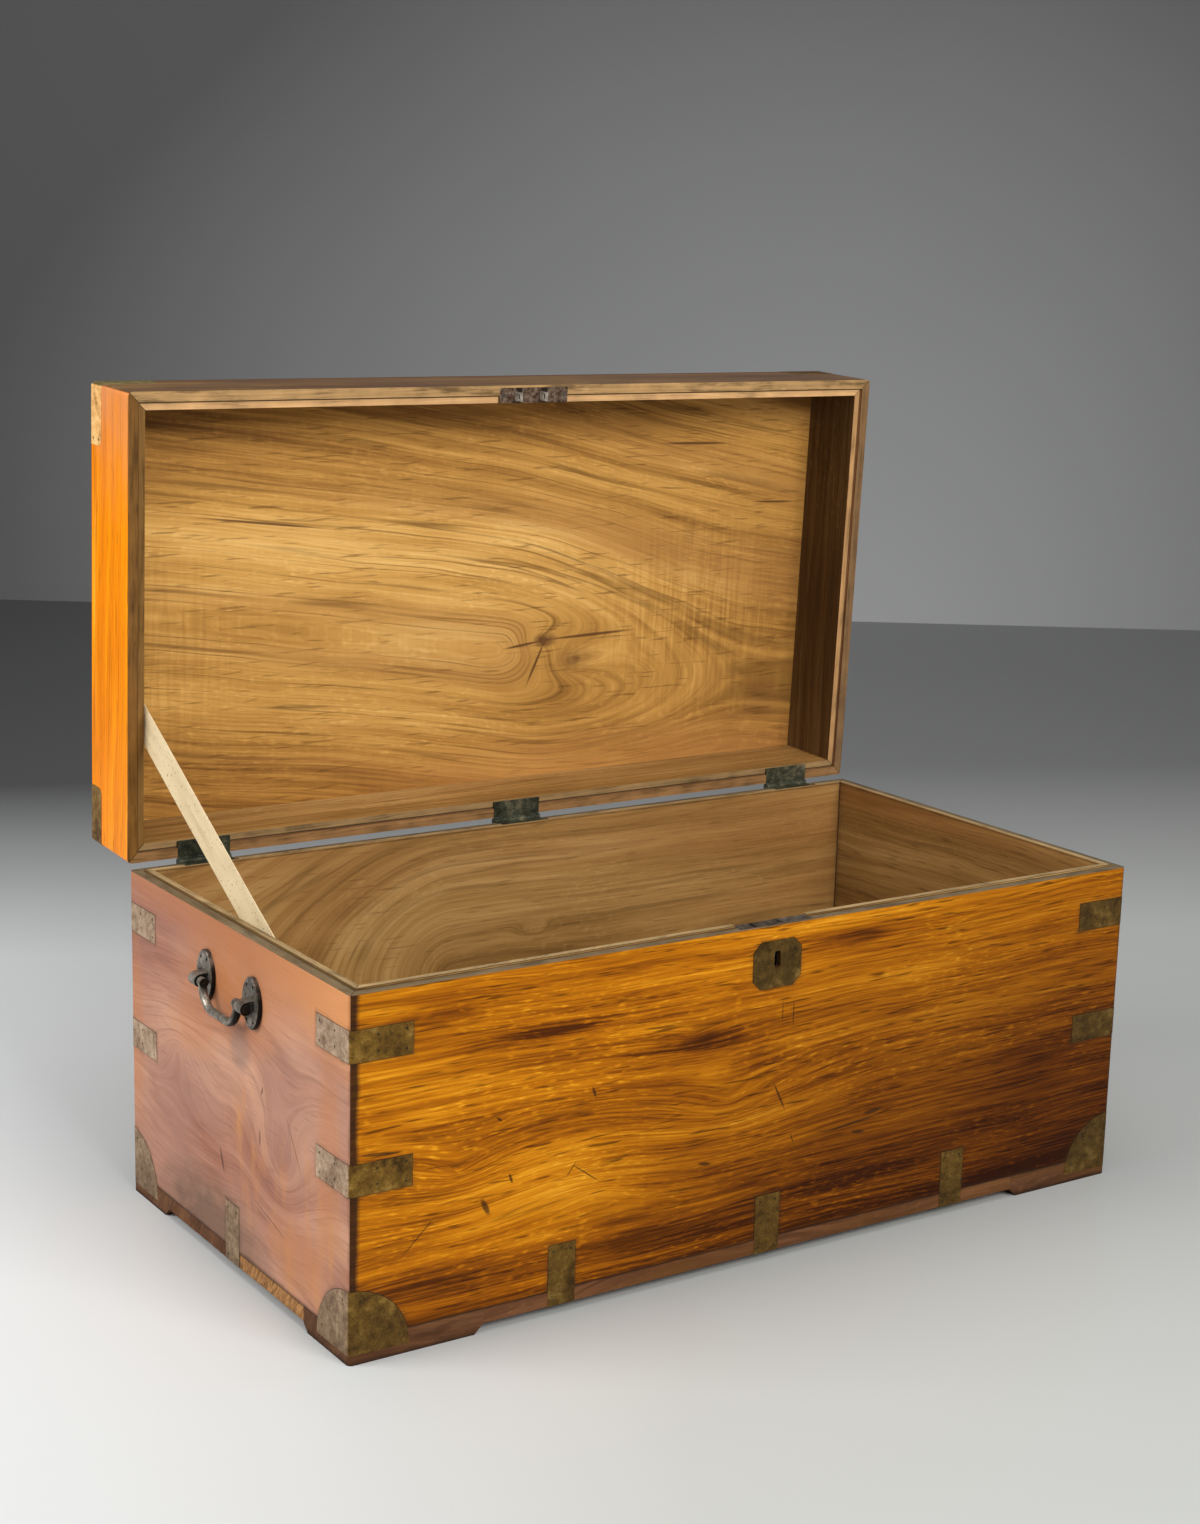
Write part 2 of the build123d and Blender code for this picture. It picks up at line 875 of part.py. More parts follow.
# Tape stay, flat against the left linings, from inside the case to inside the lid
slope = tan(radians(tape_angle))
crossing = front + tape_crossing
low_end = (crossing - tape_below_rim / slope, case_height - tape_below_rim)
high_end = (
    back + tape_into_lid,
    case_height + (back + tape_into_lid - crossing) * slope,
)
tape_length = (high_end[0] - low_end[0]) / cos(radians(tape_angle))
with BuildPart() as tape:
    with BuildSketch(Plane.YZ.offset(inside - half_width)):
        middle = ((low_end[0] + high_end[0]) / 2, (low_end[1] + high_end[1]) / 2)
        with Locations(middle):
            Rectangle(tape_length, tape_width, rotation=tape_angle)
    extrude(amount=tape_thickness)
save(tape, "stay_tape")
print("tape length", round(tape_length, 1))
print("hinge axis", round(pin_back, 3), round(pin_height, 3))
print("case middle", round(case_middle, 3), "front", round(front, 3), "back", round(back, 3))
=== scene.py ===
import json
from math import asin, cos, pi, radians, sin

import bmesh
import bpy
from mathutils import Matrix, Vector


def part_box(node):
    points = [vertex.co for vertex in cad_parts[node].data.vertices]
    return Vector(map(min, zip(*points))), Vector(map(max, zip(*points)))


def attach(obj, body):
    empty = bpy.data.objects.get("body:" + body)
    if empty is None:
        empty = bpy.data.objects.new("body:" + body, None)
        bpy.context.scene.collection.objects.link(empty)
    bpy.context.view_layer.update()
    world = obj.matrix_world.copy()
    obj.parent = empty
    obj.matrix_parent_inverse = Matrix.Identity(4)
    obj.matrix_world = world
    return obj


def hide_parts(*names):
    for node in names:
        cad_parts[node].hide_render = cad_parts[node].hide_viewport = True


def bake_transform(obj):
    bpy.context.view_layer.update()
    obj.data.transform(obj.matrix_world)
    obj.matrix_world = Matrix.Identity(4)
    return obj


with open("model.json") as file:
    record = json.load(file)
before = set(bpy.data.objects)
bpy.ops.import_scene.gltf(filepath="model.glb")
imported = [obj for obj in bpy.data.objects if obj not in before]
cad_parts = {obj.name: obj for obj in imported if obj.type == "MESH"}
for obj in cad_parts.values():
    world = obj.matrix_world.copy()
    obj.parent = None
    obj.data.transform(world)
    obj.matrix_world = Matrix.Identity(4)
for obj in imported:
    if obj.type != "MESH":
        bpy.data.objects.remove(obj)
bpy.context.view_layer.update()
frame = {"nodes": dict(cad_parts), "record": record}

# The frame's own places, in metres
boxes = {name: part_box(name) for name in frame["nodes"]}
joints = {joint["name"]: joint for joint in frame["record"]["behaviour"]["joints"]}
hinge_place = Vector(joints["lid_hinge"]["pos_m"])
lid_angle = radians(joints["lid_hinge"]["range_deg"][1])

# Carries a place on the shut lid to where it is on the open one
opened = (
    Matrix.Translation(hinge_place)
    @ Matrix.Rotation(-lid_angle, 4, "X")
    @ Matrix.Translation(-hinge_place)
)
up = Vector((0.0, 0.0, 1.0))
down = -up


def low(node):
    return Vector(boxes[node][0])


def high(node):
    return Vector(boxes[node][1])


front_y = low("front_board").y
back_y = high("back_board").y
half_width = high("right_board").x
half_depth = (back_y - front_y) / 2
middle_y = (front_y + back_y) / 2
rim_z = high("front_board").z
wall_foot_z = low("front_board").z
foot_z = low("base_board").z
foot_length = 0.095

# Boards: the lining stands over the case's rim and is let into the lid's
board_thickness = 0.012
wall_thickness = 0.020
lip_height = 0.002
strip_recess = 0.003
lid_gap = 0.0006
lid_depth = 0.1025
lid_rim_z = rim_z + lid_gap
lid_top_z = lid_rim_z + lid_depth
panel_z = lid_top_z - board_thickness

# Inlays, the same on every corner: distances in from the upright edge, and heights
strap_heights = (0.321, 0.188)
strap_leg = 0.068
strap_half = 0.016
fan_radius = 0.066
base_strap_top = foot_z + 0.065
base_strap_step = 0.259
inlay_proud = 0.0003
escutcheon_half = (0.031, 0.0255)
escutcheon_clip = 0.010
escutcheon_z = rim_z - 0.042


# Short ways to add shader nodes


class Shader:
    """A material with short ways to add nodes and wire them."""

    def __init__(self, name, **surface):
        self.material = bpy.data.materials.new(name)
        self.material.use_nodes = True
        self.tree = self.material.node_tree
        self.surface = self.tree.nodes["Principled BSDF"]
        for socket, value in surface.items():
            self.feed(self.surface.inputs[socket.replace("_", " ")], value)
        self.object_place = self.add("TexCoord", output=3)

    def add(self, kind, inputs=(), output=0, **settings):
        node = self.tree.nodes.new("ShaderNode" + kind)
        for name, value in settings.items():
            setattr(node, name, value)
        for key, value in dict(inputs).items():
            self.feed(node.inputs[key], value)
        return node.outputs[output]

    def feed(self, socket, value):
        if isinstance(value, bpy.types.NodeSocket):
            self.tree.links.new(value, socket)
        elif socket.type == "RGBA" and len(value) == 3:
            socket.default_value = (*value, 1.0)
        else:
            socket.default_value = value

    def math(self, operation, *values, clamp=False):
        return self.add("Math", enumerate(values), operation=operation, use_clamp=clamp)

    def vector(self, operation, *values):
        return self.add("VectorMath", enumerate(values), operation=operation)

    def times(self, *values):
        product = values[0]
        for value in values[1:]:
            product = self.math("MULTIPLY", product, value)
        return product

    def gap(self, a, b):
        return self.math("ABSOLUTE", self.math("SUBTRACT", a, b))

    def split(self, vector):
        node = self.tree.nodes.new("ShaderNodeSeparateXYZ")
        self.feed(node.inputs[0], vector)
        return tuple(node.outputs)

    def join(self, x, y, z):
        return self.add("CombineXYZ", enumerate((x, y, z)))

    def noise(self, place, rates, detail=2.0, roughness=0.5, low=0.3, high=0.7):
        """Noise at a number of waves per metre along each axis, spread over 0 to 1."""
        scaled = self.vector("MULTIPLY", place, rates)
        raw = self.add(
            "TexNoise",
            {"Vector": scaled, "Scale": 1.0, "Detail": detail, "Roughness": roughness},
        )
        return self.spread(raw, low, high)

    def spread(self, value, low, high, to_low=0.0, to_high=1.0):
        inputs = {0: value, 1: low, 2: high, 3: to_low, 4: to_high}
        return self.add("MapRange", inputs, clamp=True)

    def ramp(self, factor, stops):
        socket = self.add("ValToRGB", {0: factor})
        elements = socket.node.color_ramp.elements
        while len(elements) < len(stops):
            elements.new(0.5)
        for element, (position, colour) in zip(elements, stops):
            element.position = position
            element.color = (*colour, 1.0)
        return socket

    def shades(self, factor, colours):
        """A ramp through evenly spaced colours, from the darkest to the brightest."""
        step = 0.76 / (len(colours) - 1)
        return self.ramp(factor, [(0.12 + step * n, c) for n, c in enumerate(colours)])

    def mix(self, factor, a, b, blend="MIX"):
        return self.add(
            "Mix", {0: factor, 6: a, 7: b}, output=2, data_type="RGBA", blend_type=blend
        )

    def spot(self, place, centre, reach, turn=0.0):
        """1 at a point, falling to 0 at its reach along each axis."""
        mapped = self.add(
            "Mapping",
            {0: place, 1: (*centre, 0.0), 2: (0.0, 0.0, turn), 3: (*reach, 10.0)},
            vector_type="TEXTURE",
        )
        return self.add("TexGradient", {0: mapped}, output=1, gradient_type="SPHERICAL")

    def bump(self, height, depth):
        return self.add("Bump", {"Height": height, "Distance": depth})

    def finish(self, **sockets):
        for name, value in sockets.items():
            self.feed(self.surface.inputs[name.replace("_", " ")], value)
        return self.material


def dark(colour, share):
    return tuple(channel * share for channel in colour)


def dress(material, *nodes):
    for node in nodes:
        mesh = frame["nodes"][node].data
        mesh.materials.clear()
        mesh.materials.append(material)


# Wood


class Wood(Shader):
    """Figured wood. Its u runs along the grain, and u, v, w follow the shut trunk's axes."""

    def __init__(self, name, grain, lid=False, seed=0.0):
        super().__init__(name, Specular_IOR_Level=0.07)
        place = self.object_place
        if lid:
            place = self.add(
                "VectorRotate",
                {"Vector": place, "Center": hinge_place, "Angle": lid_angle},
                rotation_type="X_AXIS",
            )
        self.x, self.y, self.z = self.split(place)
        axes = {"x": self.x, "y": self.y, "z": self.z}
        self.u, self.v, self.w = (axes[axis] for axis in grain)
        self.place = self.join(self.u, self.v, self.w)
        self.seed = seed
        self.seeded = self.vector("ADD", self.place, (seed, seed * 0.7, seed * 1.3))
        self.from_side = self.math(
            "SUBTRACT", half_width, self.math("ABSOLUTE", self.x)
        )
        self.from_end = self.math("SUBTRACT", half_depth, self.gap(self.y, middle_y))

    def figure(self, centre=-1.0, tilt=0.0, nose=(0.0, 0.5, 0.0), knots=(), warp=0.05):
        """Bend the lines of the grain: they close in a nose about a centre line, run round
        knots and wave slowly. The nose is where it starts, where it ends and its height."""
        off = self.math("MULTIPLY_ADD", self.u, -tilt, self.v)
        off = self.math("SUBTRACT", off, centre)
        start, end, height = nose
        ends = {0: self.u, 1: start, 2: end, 3: 0.0003, 4: height + 0.0003}
        rise = self.add("MapRange", ends, interpolation_type="SMOOTHSTEP")
        across = self.math("SQRT", self.math("MULTIPLY_ADD", off, off, rise))
        across = self.math("MULTIPLY_ADD", self.w, 0.6, across)
        for at_u, at_v, reach_u, reach_v, height in knots:
            mapped = self.add(
                "Mapping",
                {0: self.place, 1: (at_u, at_v, 0.0), 3: (reach_u, reach_v, 10.0)},
                vector_type="TEXTURE",
            )
            bulge = self.add(
                "TexGradient", {0: mapped}, output=1, gradient_type="QUADRATIC_SPHERE"
            )
            across = self.math("MULTIPLY_ADD", bulge, height, across)
        slow = self.noise(self.seeded, (2.2, 5.0, 5.0), 1.0, low=0.0, high=1.0)
        quick = self.noise(self.seeded, (9.0, 22.0, 22.0), 1.0, low=0.0, high=1.0)
        across = self.math("MULTIPLY_ADD", slow, warp, across)
        across = self.math("MULTIPLY_ADD", quick, warp * 0.14, across)
        self.flow = self.join(self.u, across, self.math("ADD", self.w, self.seed))

    def layers(
        self,
        colours,
        clouds=0.3,
        bands=(0.45, 1.3, 30.0),
        fibre=0.25,
        lines=(0.35, 1.2, 40.0),
        flecks=(0.2, 110.0, 330.0),
        pores=0.4,
        shift=None,
        ripple=None,
    ):
        """Colour from slow clouds, long bands, fine fibre, thin dark lines and flecks."""
        share, along, rate = bands
        tone = self.times(self.noise(self.seeded, (3.0, 7.0, 7.0), 3.0), clouds)
        band = self.noise(self.flow, (along, rate, 3.0), 3.0, 0.6)
        tone = self.math("MULTIPLY_ADD", band, share, tone)
        self.fibre = self.noise(self.flow, (9.0, 360.0, 90.0), 3.0, 0.65)
        tone = self.math("MULTIPLY_ADD", self.fibre, fibre, tone)
        if shift:
            tone = self.math("ADD", tone, shift)
        if ripple:
            tone = self.math("ADD", tone, ripple)
        share, along, rate = flecks
        bright = self.noise(self.flow, (along, rate, 90.0), 1.0, low=0.55, high=0.75)
        patches = self.noise(self.seeded, (7.0, 16.0, 8.0), 1.0, low=0.35, high=0.65)
        tone = self.math("ADD", tone, self.times(bright, patches, share))
        colour = self.shades(tone, colours)
        share, along, rate = lines
        level = self.noise(self.flow, (along, rate, 4.0), 2.0, low=0.0, high=1.0)
        line = self.spread(self.gap(level, 0.5), 0.0, 0.028, 1.0, 0.0)
        broken = self.noise(self.seeded, (5.0, 30.0, 8.0), 1.0, low=0.3, high=0.6)
        colour = self.mix(self.times(line, broken, share), colour, dark(colours[1], 0.55))
        self.pore = self.noise(self.seeded, (24.0, 300.0, 120.0), 1.0, low=0.62, high=0.74)
        return self.mix(self.times(self.pore, pores), colour, dark(colours[0], 0.6))

    def streaks(self, rate_u, rate_v, low=0.5, high=0.65):
        return self.noise(self.seeded, (rate_u, rate_v, 5.0), 2.0, low=low, high=high)

    def blot(self, centre, reach, turn=0.0, hard=0.6):
        """A soft patch with a ragged outline."""
        ragged = self.noise(self.seeded, (45.0, 45.0, 45.0), 3.0, low=0.0, high=1.0)
        ragged = self.math("MULTIPLY_ADD", ragged, 1.8, 0.1)
        shape = self.times(self.spot(self.place, centre, reach, turn), ragged)
        return self.spread(shape, 0.0, hard)

    def marks(self, colour, strokes, tint, share):
        """Scratches and cracks: place, half length, half width and angle of each."""
        for at_u, at_v, half, width, turn in strokes:
            stroke = self.spot(self.place, (at_u, at_v), (half, width), turn)
            stroke = self.spread(stroke, 0.0, 0.45, 0.0, share)
            colour = self.mix(stroke, colour, tint)
        return colour

    def edge(self, colour, distance, reach, tint, share):
        """Darkening that fades away from an edge: grime and wear in some places, painted shade in
        others.
        """
        ragged = self.noise(self.seeded, (38.0, 38.0, 38.0), 3.0, 0.6, 0.25, 0.75)
        ragged = self.math("MULTIPLY_ADD", ragged, reach * 1.2, reach * 0.4)
        fade = self.math("DIVIDE", distance, ragged)
        return self.mix(self.spread(fade, 0.0, 1.0, share, 0.0), colour, tint)

    def inlay_lines(self, inward, colour, along=(), plate=None):
        """Dark joints and grime around the brass that is let into a wall."""

        def box_gap(a, centre_a, half_a, b, centre_b, half_b):
            one = self.math("SUBTRACT", self.gap(a, centre_a), half_a)
            two = self.math("SUBTRACT", self.gap(b, centre_b), half_b)
            return self.math("MAXIMUM", one, two)

        gaps = [
            box_gap(inward, 0.0, strap_leg, self.z, height, strap_half)
            for height in strap_heights
        ]
        reach = self.join(inward, self.math("SUBTRACT", self.z, foot_z), 0.0)
        length = self.add("VectorMath", {0: reach}, output=1, operation="LENGTH")
        gaps.append(self.math("SUBTRACT", length, fan_radius))
        for position in along:
            gaps.append(
                box_gap(self.u, position, strap_half, self.z, foot_z, base_strap_top - foot_z)
            )
        if plate:
            wide, tall, height, clip = plate
            gaps.append(box_gap(self.u, 0.0, wide, self.z, height, tall))
            corner = self.math("ADD", self.math("ABSOLUTE", self.u), self.gap(self.z, height))
            corner = self.math("SUBTRACT", corner, wide + tall - clip)
            gaps[-1] = self.math("MAXIMUM", gaps[-1], self.times(corner, 0.7))
        nearest = gaps[0]
        for other in gaps[1:]:
            nearest = self.math("MINIMUM", nearest, other)
        ragged = self.noise(self.seeded, (60.0, 60.0, 60.0), 2.0)
        stain = self.times(self.spread(nearest, 0.0, 0.006, 0.5, 0.0), ragged)
        colour = self.mix(stain, colour, (0.05, 0.022, 0.008))
        joint = self.spread(nearest, 0.0003, 0.0011, 0.85, 0.0)
        return self.mix(joint, colour, (0.02, 0.011, 0.006))

    def bare_rim(self, colour, mask, pale, grime):
        """The bare top of a board, with dark grime, the mitred joint at each corner and a dark
        line along the lining, partly a joint and partly painted shadow of the step.
        """
        mottle = self.noise(self.seeded, (30.0, 30.0, 30.0), 3.0)
        streak = self.noise(self.flow, (7.0, 500.0, 200.0), 2.0)
        tone = self.math("MULTIPLY_ADD", mottle, 0.5, self.times(streak, 0.5))
        bare = self.shades(tone, [dark(pale, 0.45), dark(pale, 0.85), pale, dark(pale, 1.2)])
        dirt = self.noise(self.seeded, (14.0, 14.0, 90.0), 3.0, 0.7, 0.5, 0.66)
        bare = self.mix(self.times(dirt, grime), bare, dark(pale, 0.2))
        mitre = self.spread(self.gap(self.from_side, self.from_end), 0.0002, 0.0009, 0.9, 0.0)
        inset = self.math("MINIMUM", self.from_side, self.from_end)
        # The dark line along the lining: partly the joint, partly painted shadow of the step
        # between the two tops
        seam_and_shadow = self.spread(self.gap(inset, board_thickness), 0.0004, 0.0012, 0.9, 0.0)
        bare = self.mix(self.math("MAXIMUM", mitre, seam_and_shadow), bare, dark(pale, 0.1))
        return self.mix(mask, colour, bare)

    def settle(self, colour, gloss=0.4, coat=0.0):
        height = self.math("SUBTRACT", self.fibre, self.times(self.pore, 0.6))
        return self.finish(
            Base_Color=colour,
            Roughness=self.spread(self.fibre, 0.0, 1.0, gloss + 0.08, gloss - 0.05),
            Coat_Weight=coat,
            Coat_Roughness=0.2,
            Normal=self.bump(height, 0.00007),
        )


amber = [
    (0.07, 0.016, 0.001),
    (0.26, 0.070, 0.0013),
    (0.46, 0.145, 0.0018),
    (0.66, 0.250, 0.007),
    (0.84, 0.390, 0.025),
]
russet = [(0.10, 0.035, 0.014), (0.22, 0.085, 0.035), (0.36, 0.15, 0.06), (0.50, 0.23, 0.09)]
# The sides' colours, paler and pinker with a painted sheen
rosy_sheen = [(0.17, 0.062, 0.04), (0.33, 0.135, 0.083), (0.46, 0.225, 0.145), (0.58, 0.31, 0.195)]
orange = [(0.40, 0.10, 0.002), (0.75, 0.20, 0.001), (0.95, 0.29, 0.001), (0.98, 0.40, 0.02)]
tan = [
    (0.17, 0.070, 0.016),
    (0.37, 0.170, 0.037),
    (0.55, 0.275, 0.062),
    (0.72, 0.385, 0.10),
    (0.90, 0.540, 0.17),
]
honey = [(0.14, 0.065, 0.018), (0.26, 0.13, 0.035), (0.39, 0.21, 0.065), (0.52, 0.31, 0.11)]
umber = [(0.05, 0.025, 0.01), (0.12, 0.06, 0.02), (0.20, 0.11, 0.04), (0.30, 0.18, 0.075)]
dusty_rim = (0.16, 0.115, 0.065)
lining_rim = (0.34, 0.23, 0.11)
# A near-black, for dark joints and for painted shade
ink = (0.022, 0.012, 0.007)

# Dents, scratches and cracks: place along and across the grain, half length, half width, turn
front_marks = [
    (0.0103, 0.1822, 0.021, 0.0016, -1.11),
    (0.1104, 0.1339, 0.044, 0.0020, 0.09),
    (0.1198, 0.1228, 0.011, 0.0026, -0.13),
    (0.1400, 0.1430, 0.016, 0.0034, 0.1),
    (0.0292, 0.1325, 0.007, 0.0010, -1.17),
    (0.0244, 0.2727, 0.018, 0.0009, -1.57),
    (0.0100, 0.2770, 0.014, 0.0007, -1.57),
    (-0.2246, 0.2292, 0.007, 0.0022, -1.2),
    (-0.3350, 0.2206, 0.005, 0.0018, -0.67),
    (-0.3210, 0.1568, 0.007, 0.0020, -1.22),
    (-0.3497, 0.1327, 0.012, 0.0040, -1.1),
    (-0.0850, 0.1257, 0.010, 0.0026, -0.2),
    (-0.2322, 0.1447, 0.025, 0.0009, -0.63),
    (-0.2500, 0.1520, 0.012, 0.0008, 0.9),
    (-0.4684, 0.2103, 0.028, 0.0022, -0.10),
    (-0.4240, 0.1180, 0.030, 0.0008, 0.75),
]
side_marks = [
    (-0.1198, 0.169, 0.011, 0.0020, -1.57),
    (-0.1250, 0.220, 0.006, 0.0020, -1.2),
    (-0.0300, 0.115, 0.016, 0.0030, 1.2),
    (-0.1960, 0.185, 0.040, 0.0008, 1.0),
    (-0.1400, 0.090, 0.050, 0.0008, 0.25),
]
panel_marks = [
    (0.156, 0.0105, 0.074, 0.0024, -0.03),
    (0.075, 0.042, 0.034, 0.0022, -1.15),
    (0.055, 0.017, 0.030, 0.0022, -0.12),
    (0.430, -0.146, 0.040, 0.0018, 0.03),
    (0.300, -0.225, 0.060, 0.0022, 0.02),
    (-0.30, -0.150, 0.090, 0.0018, 0.12),
]


def upper_rim(s, colour, height, pale, grime):
    """The bare top of a board that ends at a height."""
    mask = s.spread(s.z, height - 0.0006, height - 0.0002)
    return s.bare_rim(colour, mask, pale, grime)


def case_rim(s, colour):
    return upper_rim(s, colour, rim_z, dusty_rim, 0.5)


def lip_rim(s, colour):
    colour = upper_rim(s, colour, rim_z + lip_height, lining_rim, 0.35)
    # Painted shade: the lining darkens at the height of the case's rim, at the foot of its raised
    # lip
    return s.edge(colour, s.gap(s.z, rim_z), 0.0012, ink, 0.7)


def lid_rim(s, colour, height, pale, grime):
    """The bare foot of a board that starts at a height, on the shut lid."""
    mask = s.spread(s.z, height + 0.0002, height + 0.0005, 1.0, 0.0)
    return s.bare_rim(colour, mask, pale, grime)


def front_wood():
    s = Wood("front_wood", "xzy", seed=3.0)
    s.figure(
        knots=[
            (-0.06, 0.19, 0.24, 0.11, 0.038),
            (-0.379, 0.177, 0.16, 0.08, 0.028),
            (-0.22, 0.12, 0.20, 0.06, -0.016),
            (-0.10, 0.27, 0.12, 0.04, 0.010),
        ],
        warp=0.035,
    )
    # Painted shade: the lower right of the front is darkened, partly the wood's own darkening and
    # partly painted shade
    shade = s.spot(s.place, (0.46, 0.07), (0.80, 0.38))
    shade = s.spread(shade, 0.0, 0.75)
    glow = s.spread(s.spot(s.place, (-0.263, 0.143), (0.13, 0.06)), 0.0, 0.8)
    warm = s.spread(s.spot(s.place, (-0.03, 0.18), (0.14, 0.07)), 0.0, 0.8)
    upper = s.spread(s.z, 0.2, 0.36)
    lower = s.spread(s.z, 0.022, 0.14, -0.21, 0.04)
    shift = s.math("MULTIPLY_ADD", shade, -0.14, lower)
    shift = s.math("MULTIPLY_ADD", glow, 0.16, shift)
    shift = s.math("MULTIPLY_ADD", warm, 0.10, shift)
    shift = s.math("MULTIPLY_ADD", upper, 0.04, shift)
    for centre, reach, turn in (
        ((-0.0968, 0.262), (0.07, 0.014), -0.06),
        ((0.0943, 0.3420), (0.07, 0.012), 0.03),
        ((-0.31, 0.30), (0.12, 0.012), 0.03),
        ((-0.02, 0.228), (0.06, 0.010), 0.05),
        ((-0.4, 0.335), (0.07, 0.016), 0.0),
    ):
        shift = s.math("MULTIPLY_ADD", s.blot(centre, reach, turn), -0.2, shift)
    colour = s.layers(
        amber,
        clouds=0.16,
        bands=(0.34, 2.0, 46.0),
        fibre=0.36,
        lines=(0.6, 1.8, 60.0),
        flecks=(0.26, 70.0, 300.0),
        pores=0.7,
        shift=shift,
    )
    # The painted shade on the lower right also deepens the hue there, partly the wood's own
    # darkening
    colour = s.mix(s.times(shade, 0.9), colour, (0.29, 0.24, 0.6), "MULTIPLY")
    colour = s.marks(colour, front_marks, (0.03, 0.012, 0.004), 0.8)
    colour = s.inlay_lines(
        s.from_side,
        colour,
        (-base_strap_step, 0.0, base_strap_step),
        (*escutcheon_half, escutcheon_z, escutcheon_clip),
    )
    band = s.math("ADD", s.x, half_width)
    band = s.math("MULTIPLY_ADD", s.streaks(3.0, 25.0, 0.0, 1.0), -0.006, band)
    colour = s.mix(s.spread(band, 0.004, 0.009, 0.93, 0.0), colour, (0.025, 0.010, 0.005))
    colour = s.edge(colour, s.math("SUBTRACT", half_width, s.x), 0.006, (0.05, 0.02, 0.005), 0.8)
    # Painted shadow: a dark line along the foot of the wall, where it meets the base
    above = s.math("SUBTRACT", s.z, wall_foot_z)
    colour = s.edge(colour, above, 0.004, (0.03, 0.012, 0.005), 0.8)
    return s.settle(case_rim(s, colour), gloss=0.34)


def side_wood():
    s = Wood("side_wood", "yzx", seed=21.0)
    s.figure(
        knots=[(-0.17, 0.16, 0.13, 0.15, 0.12), (0.08, 0.20, 0.12, 0.08, -0.05)],
        warp=0.10,
    )
    colour = s.layers(
        rosy_sheen,
        clouds=0.45,
        bands=(0.38, 2.2, 16.0),
        fibre=0.17,
        lines=(0.4, 2.0, 22.0),
        flecks=(0.1, 60.0, 300.0),
        pores=0.25,
    )
    # A painted pale pink sheen, in patches, on the sides
    painted_sheen = s.noise(s.seeded, (6.0, 9.0, 6.0), 3.0, 0.6, 0.45, 0.65)
    colour = s.mix(s.times(painted_sheen, 0.45), colour, (0.30, 0.16, 0.13))
    flames = s.noise(s.seeded, (50.0, 14.0, 5.0), 3.0, low=0.45, high=0.75)
    for centre, reach in (((-0.22, 0.10), (0.10, 0.12)), ((-0.09, 0.14), (0.05, 0.09))):
        place = s.spread(s.spot(s.place, centre, reach), 0.0, 0.5)
        colour = s.mix(s.times(flames, place, 0.7), colour, (0.58, 0.25, 0.08))
    top = s.spread(s.math("MULTIPLY_ADD", s.y, -0.12, s.z), 0.31, 0.37)
    bright = s.mix(s.spread(s.y, -0.30, -0.10), (0.68, 0.28, 0.09), (0.42, 0.15, 0.05))
    colour = s.mix(s.times(top, 0.8), colour, bright)
    halo = s.blot((-0.05, 0.302), (0.15, 0.07), 0.0, 0.8)
    colour = s.mix(s.times(halo, 0.7), colour, (0.46, 0.165, 0.045))
    for centre, reach in (
        ((-0.27, 0.20), (0.03, 0.14)),
        ((-0.20, 0.07), (0.08, 0.05)),
        ((0.19, 0.20), (0.025, 0.14)),
        ((0.04, 0.24), (0.07, 0.04)),
    ):
        warm = s.times(s.blot(centre, reach), 0.5)
        colour = s.mix(warm, colour, (0.46, 0.18, 0.07))
    rub = s.blot((-0.0744, 0.252), (0.03, 0.03))
    colour = s.mix(s.times(rub, 0.5), colour, (0.22, 0.15, 0.13))
    stain = s.blot((-0.005, 0.03), (0.15, 0.07))
    colour = s.mix(s.times(stain, 0.75), colour, (0.14, 0.085, 0.055))
    colour = s.marks(colour, side_marks, (0.06, 0.03, 0.02), 0.7)
    colour = s.inlay_lines(s.from_end, colour, (middle_y,))
    colour = s.edge(colour, s.from_end, 0.004, (0.12, 0.05, 0.03), 0.7)
    # Painted shadow: a dark line along the foot of the wall, where it meets the base
    above = s.math("SUBTRACT", s.z, wall_foot_z)
    colour = s.edge(colour, above, 0.004, (0.07, 0.03, 0.015), 0.8)
    return s.settle(case_rim(s, colour), gloss=0.38)


def back_wood():
    s = Wood("back_wood", "xzy", seed=11.0)
    s.figure(warp=0.05)
    colour = s.layers(russet, clouds=0.3, bands=(0.45, 1.6, 34.0), lines=(0.5, 1.5, 50.0))
    colour = s.inlay_lines(s.from_side, colour, (-base_strap_step, 0.0, base_strap_step))
    colour = s.edge(colour, s.from_side, 0.006, (0.05, 0.02, 0.01), 0.8)
    return s.settle(case_rim(s, colour), gloss=0.42)


def base_wood(name, seed, stops):
    s = Wood(name, "xyz", seed=seed)
    s.figure(warp=0.05)
    colour = s.layers(stops, clouds=0.3, bands=(0.4, 1.6, 40.0), lines=(0.6, 1.4, 70.0))
    tan_strip = s.times(
        s.spread(s.y, middle_y - 0.020, middle_y - 0.017, 1.0, 0.0),
        s.spread(s.y, front_y + foot_length - 0.001, front_y + foot_length + 0.001),
        s.spread(s.x, -half_width, 1e-4 - half_width, 1.0, 0.0),
    )
    colour = s.mix(s.times(tan_strip, s.fibre, 0.9), colour, (0.80, 0.40, 0.13))
    warm = s.noise(s.seeded, (5.0, 5.0, 30.0), 2.0, low=0.45, high=0.7)
    colour = s.mix(s.times(warm, 0.5), colour, (0.24, 0.095, 0.018))
    # Painted shadow: dark just under the wall's foot, and on the feet near the floor, under the
    # base
    shelf = s.math("SUBTRACT", wall_foot_z, s.z)
    colour = s.edge(colour, shelf, 0.0022, ink, 0.9)
    colour = s.edge(colour, s.z, 0.006, ink, 0.9)
    corner = s.math("MINIMUM", s.from_side, s.from_end)
    colour = s.mix(s.spread(corner, 0.0, 0.004, 0.35, 0.0), colour, ink)
    return s.settle(colour, gloss=0.5)


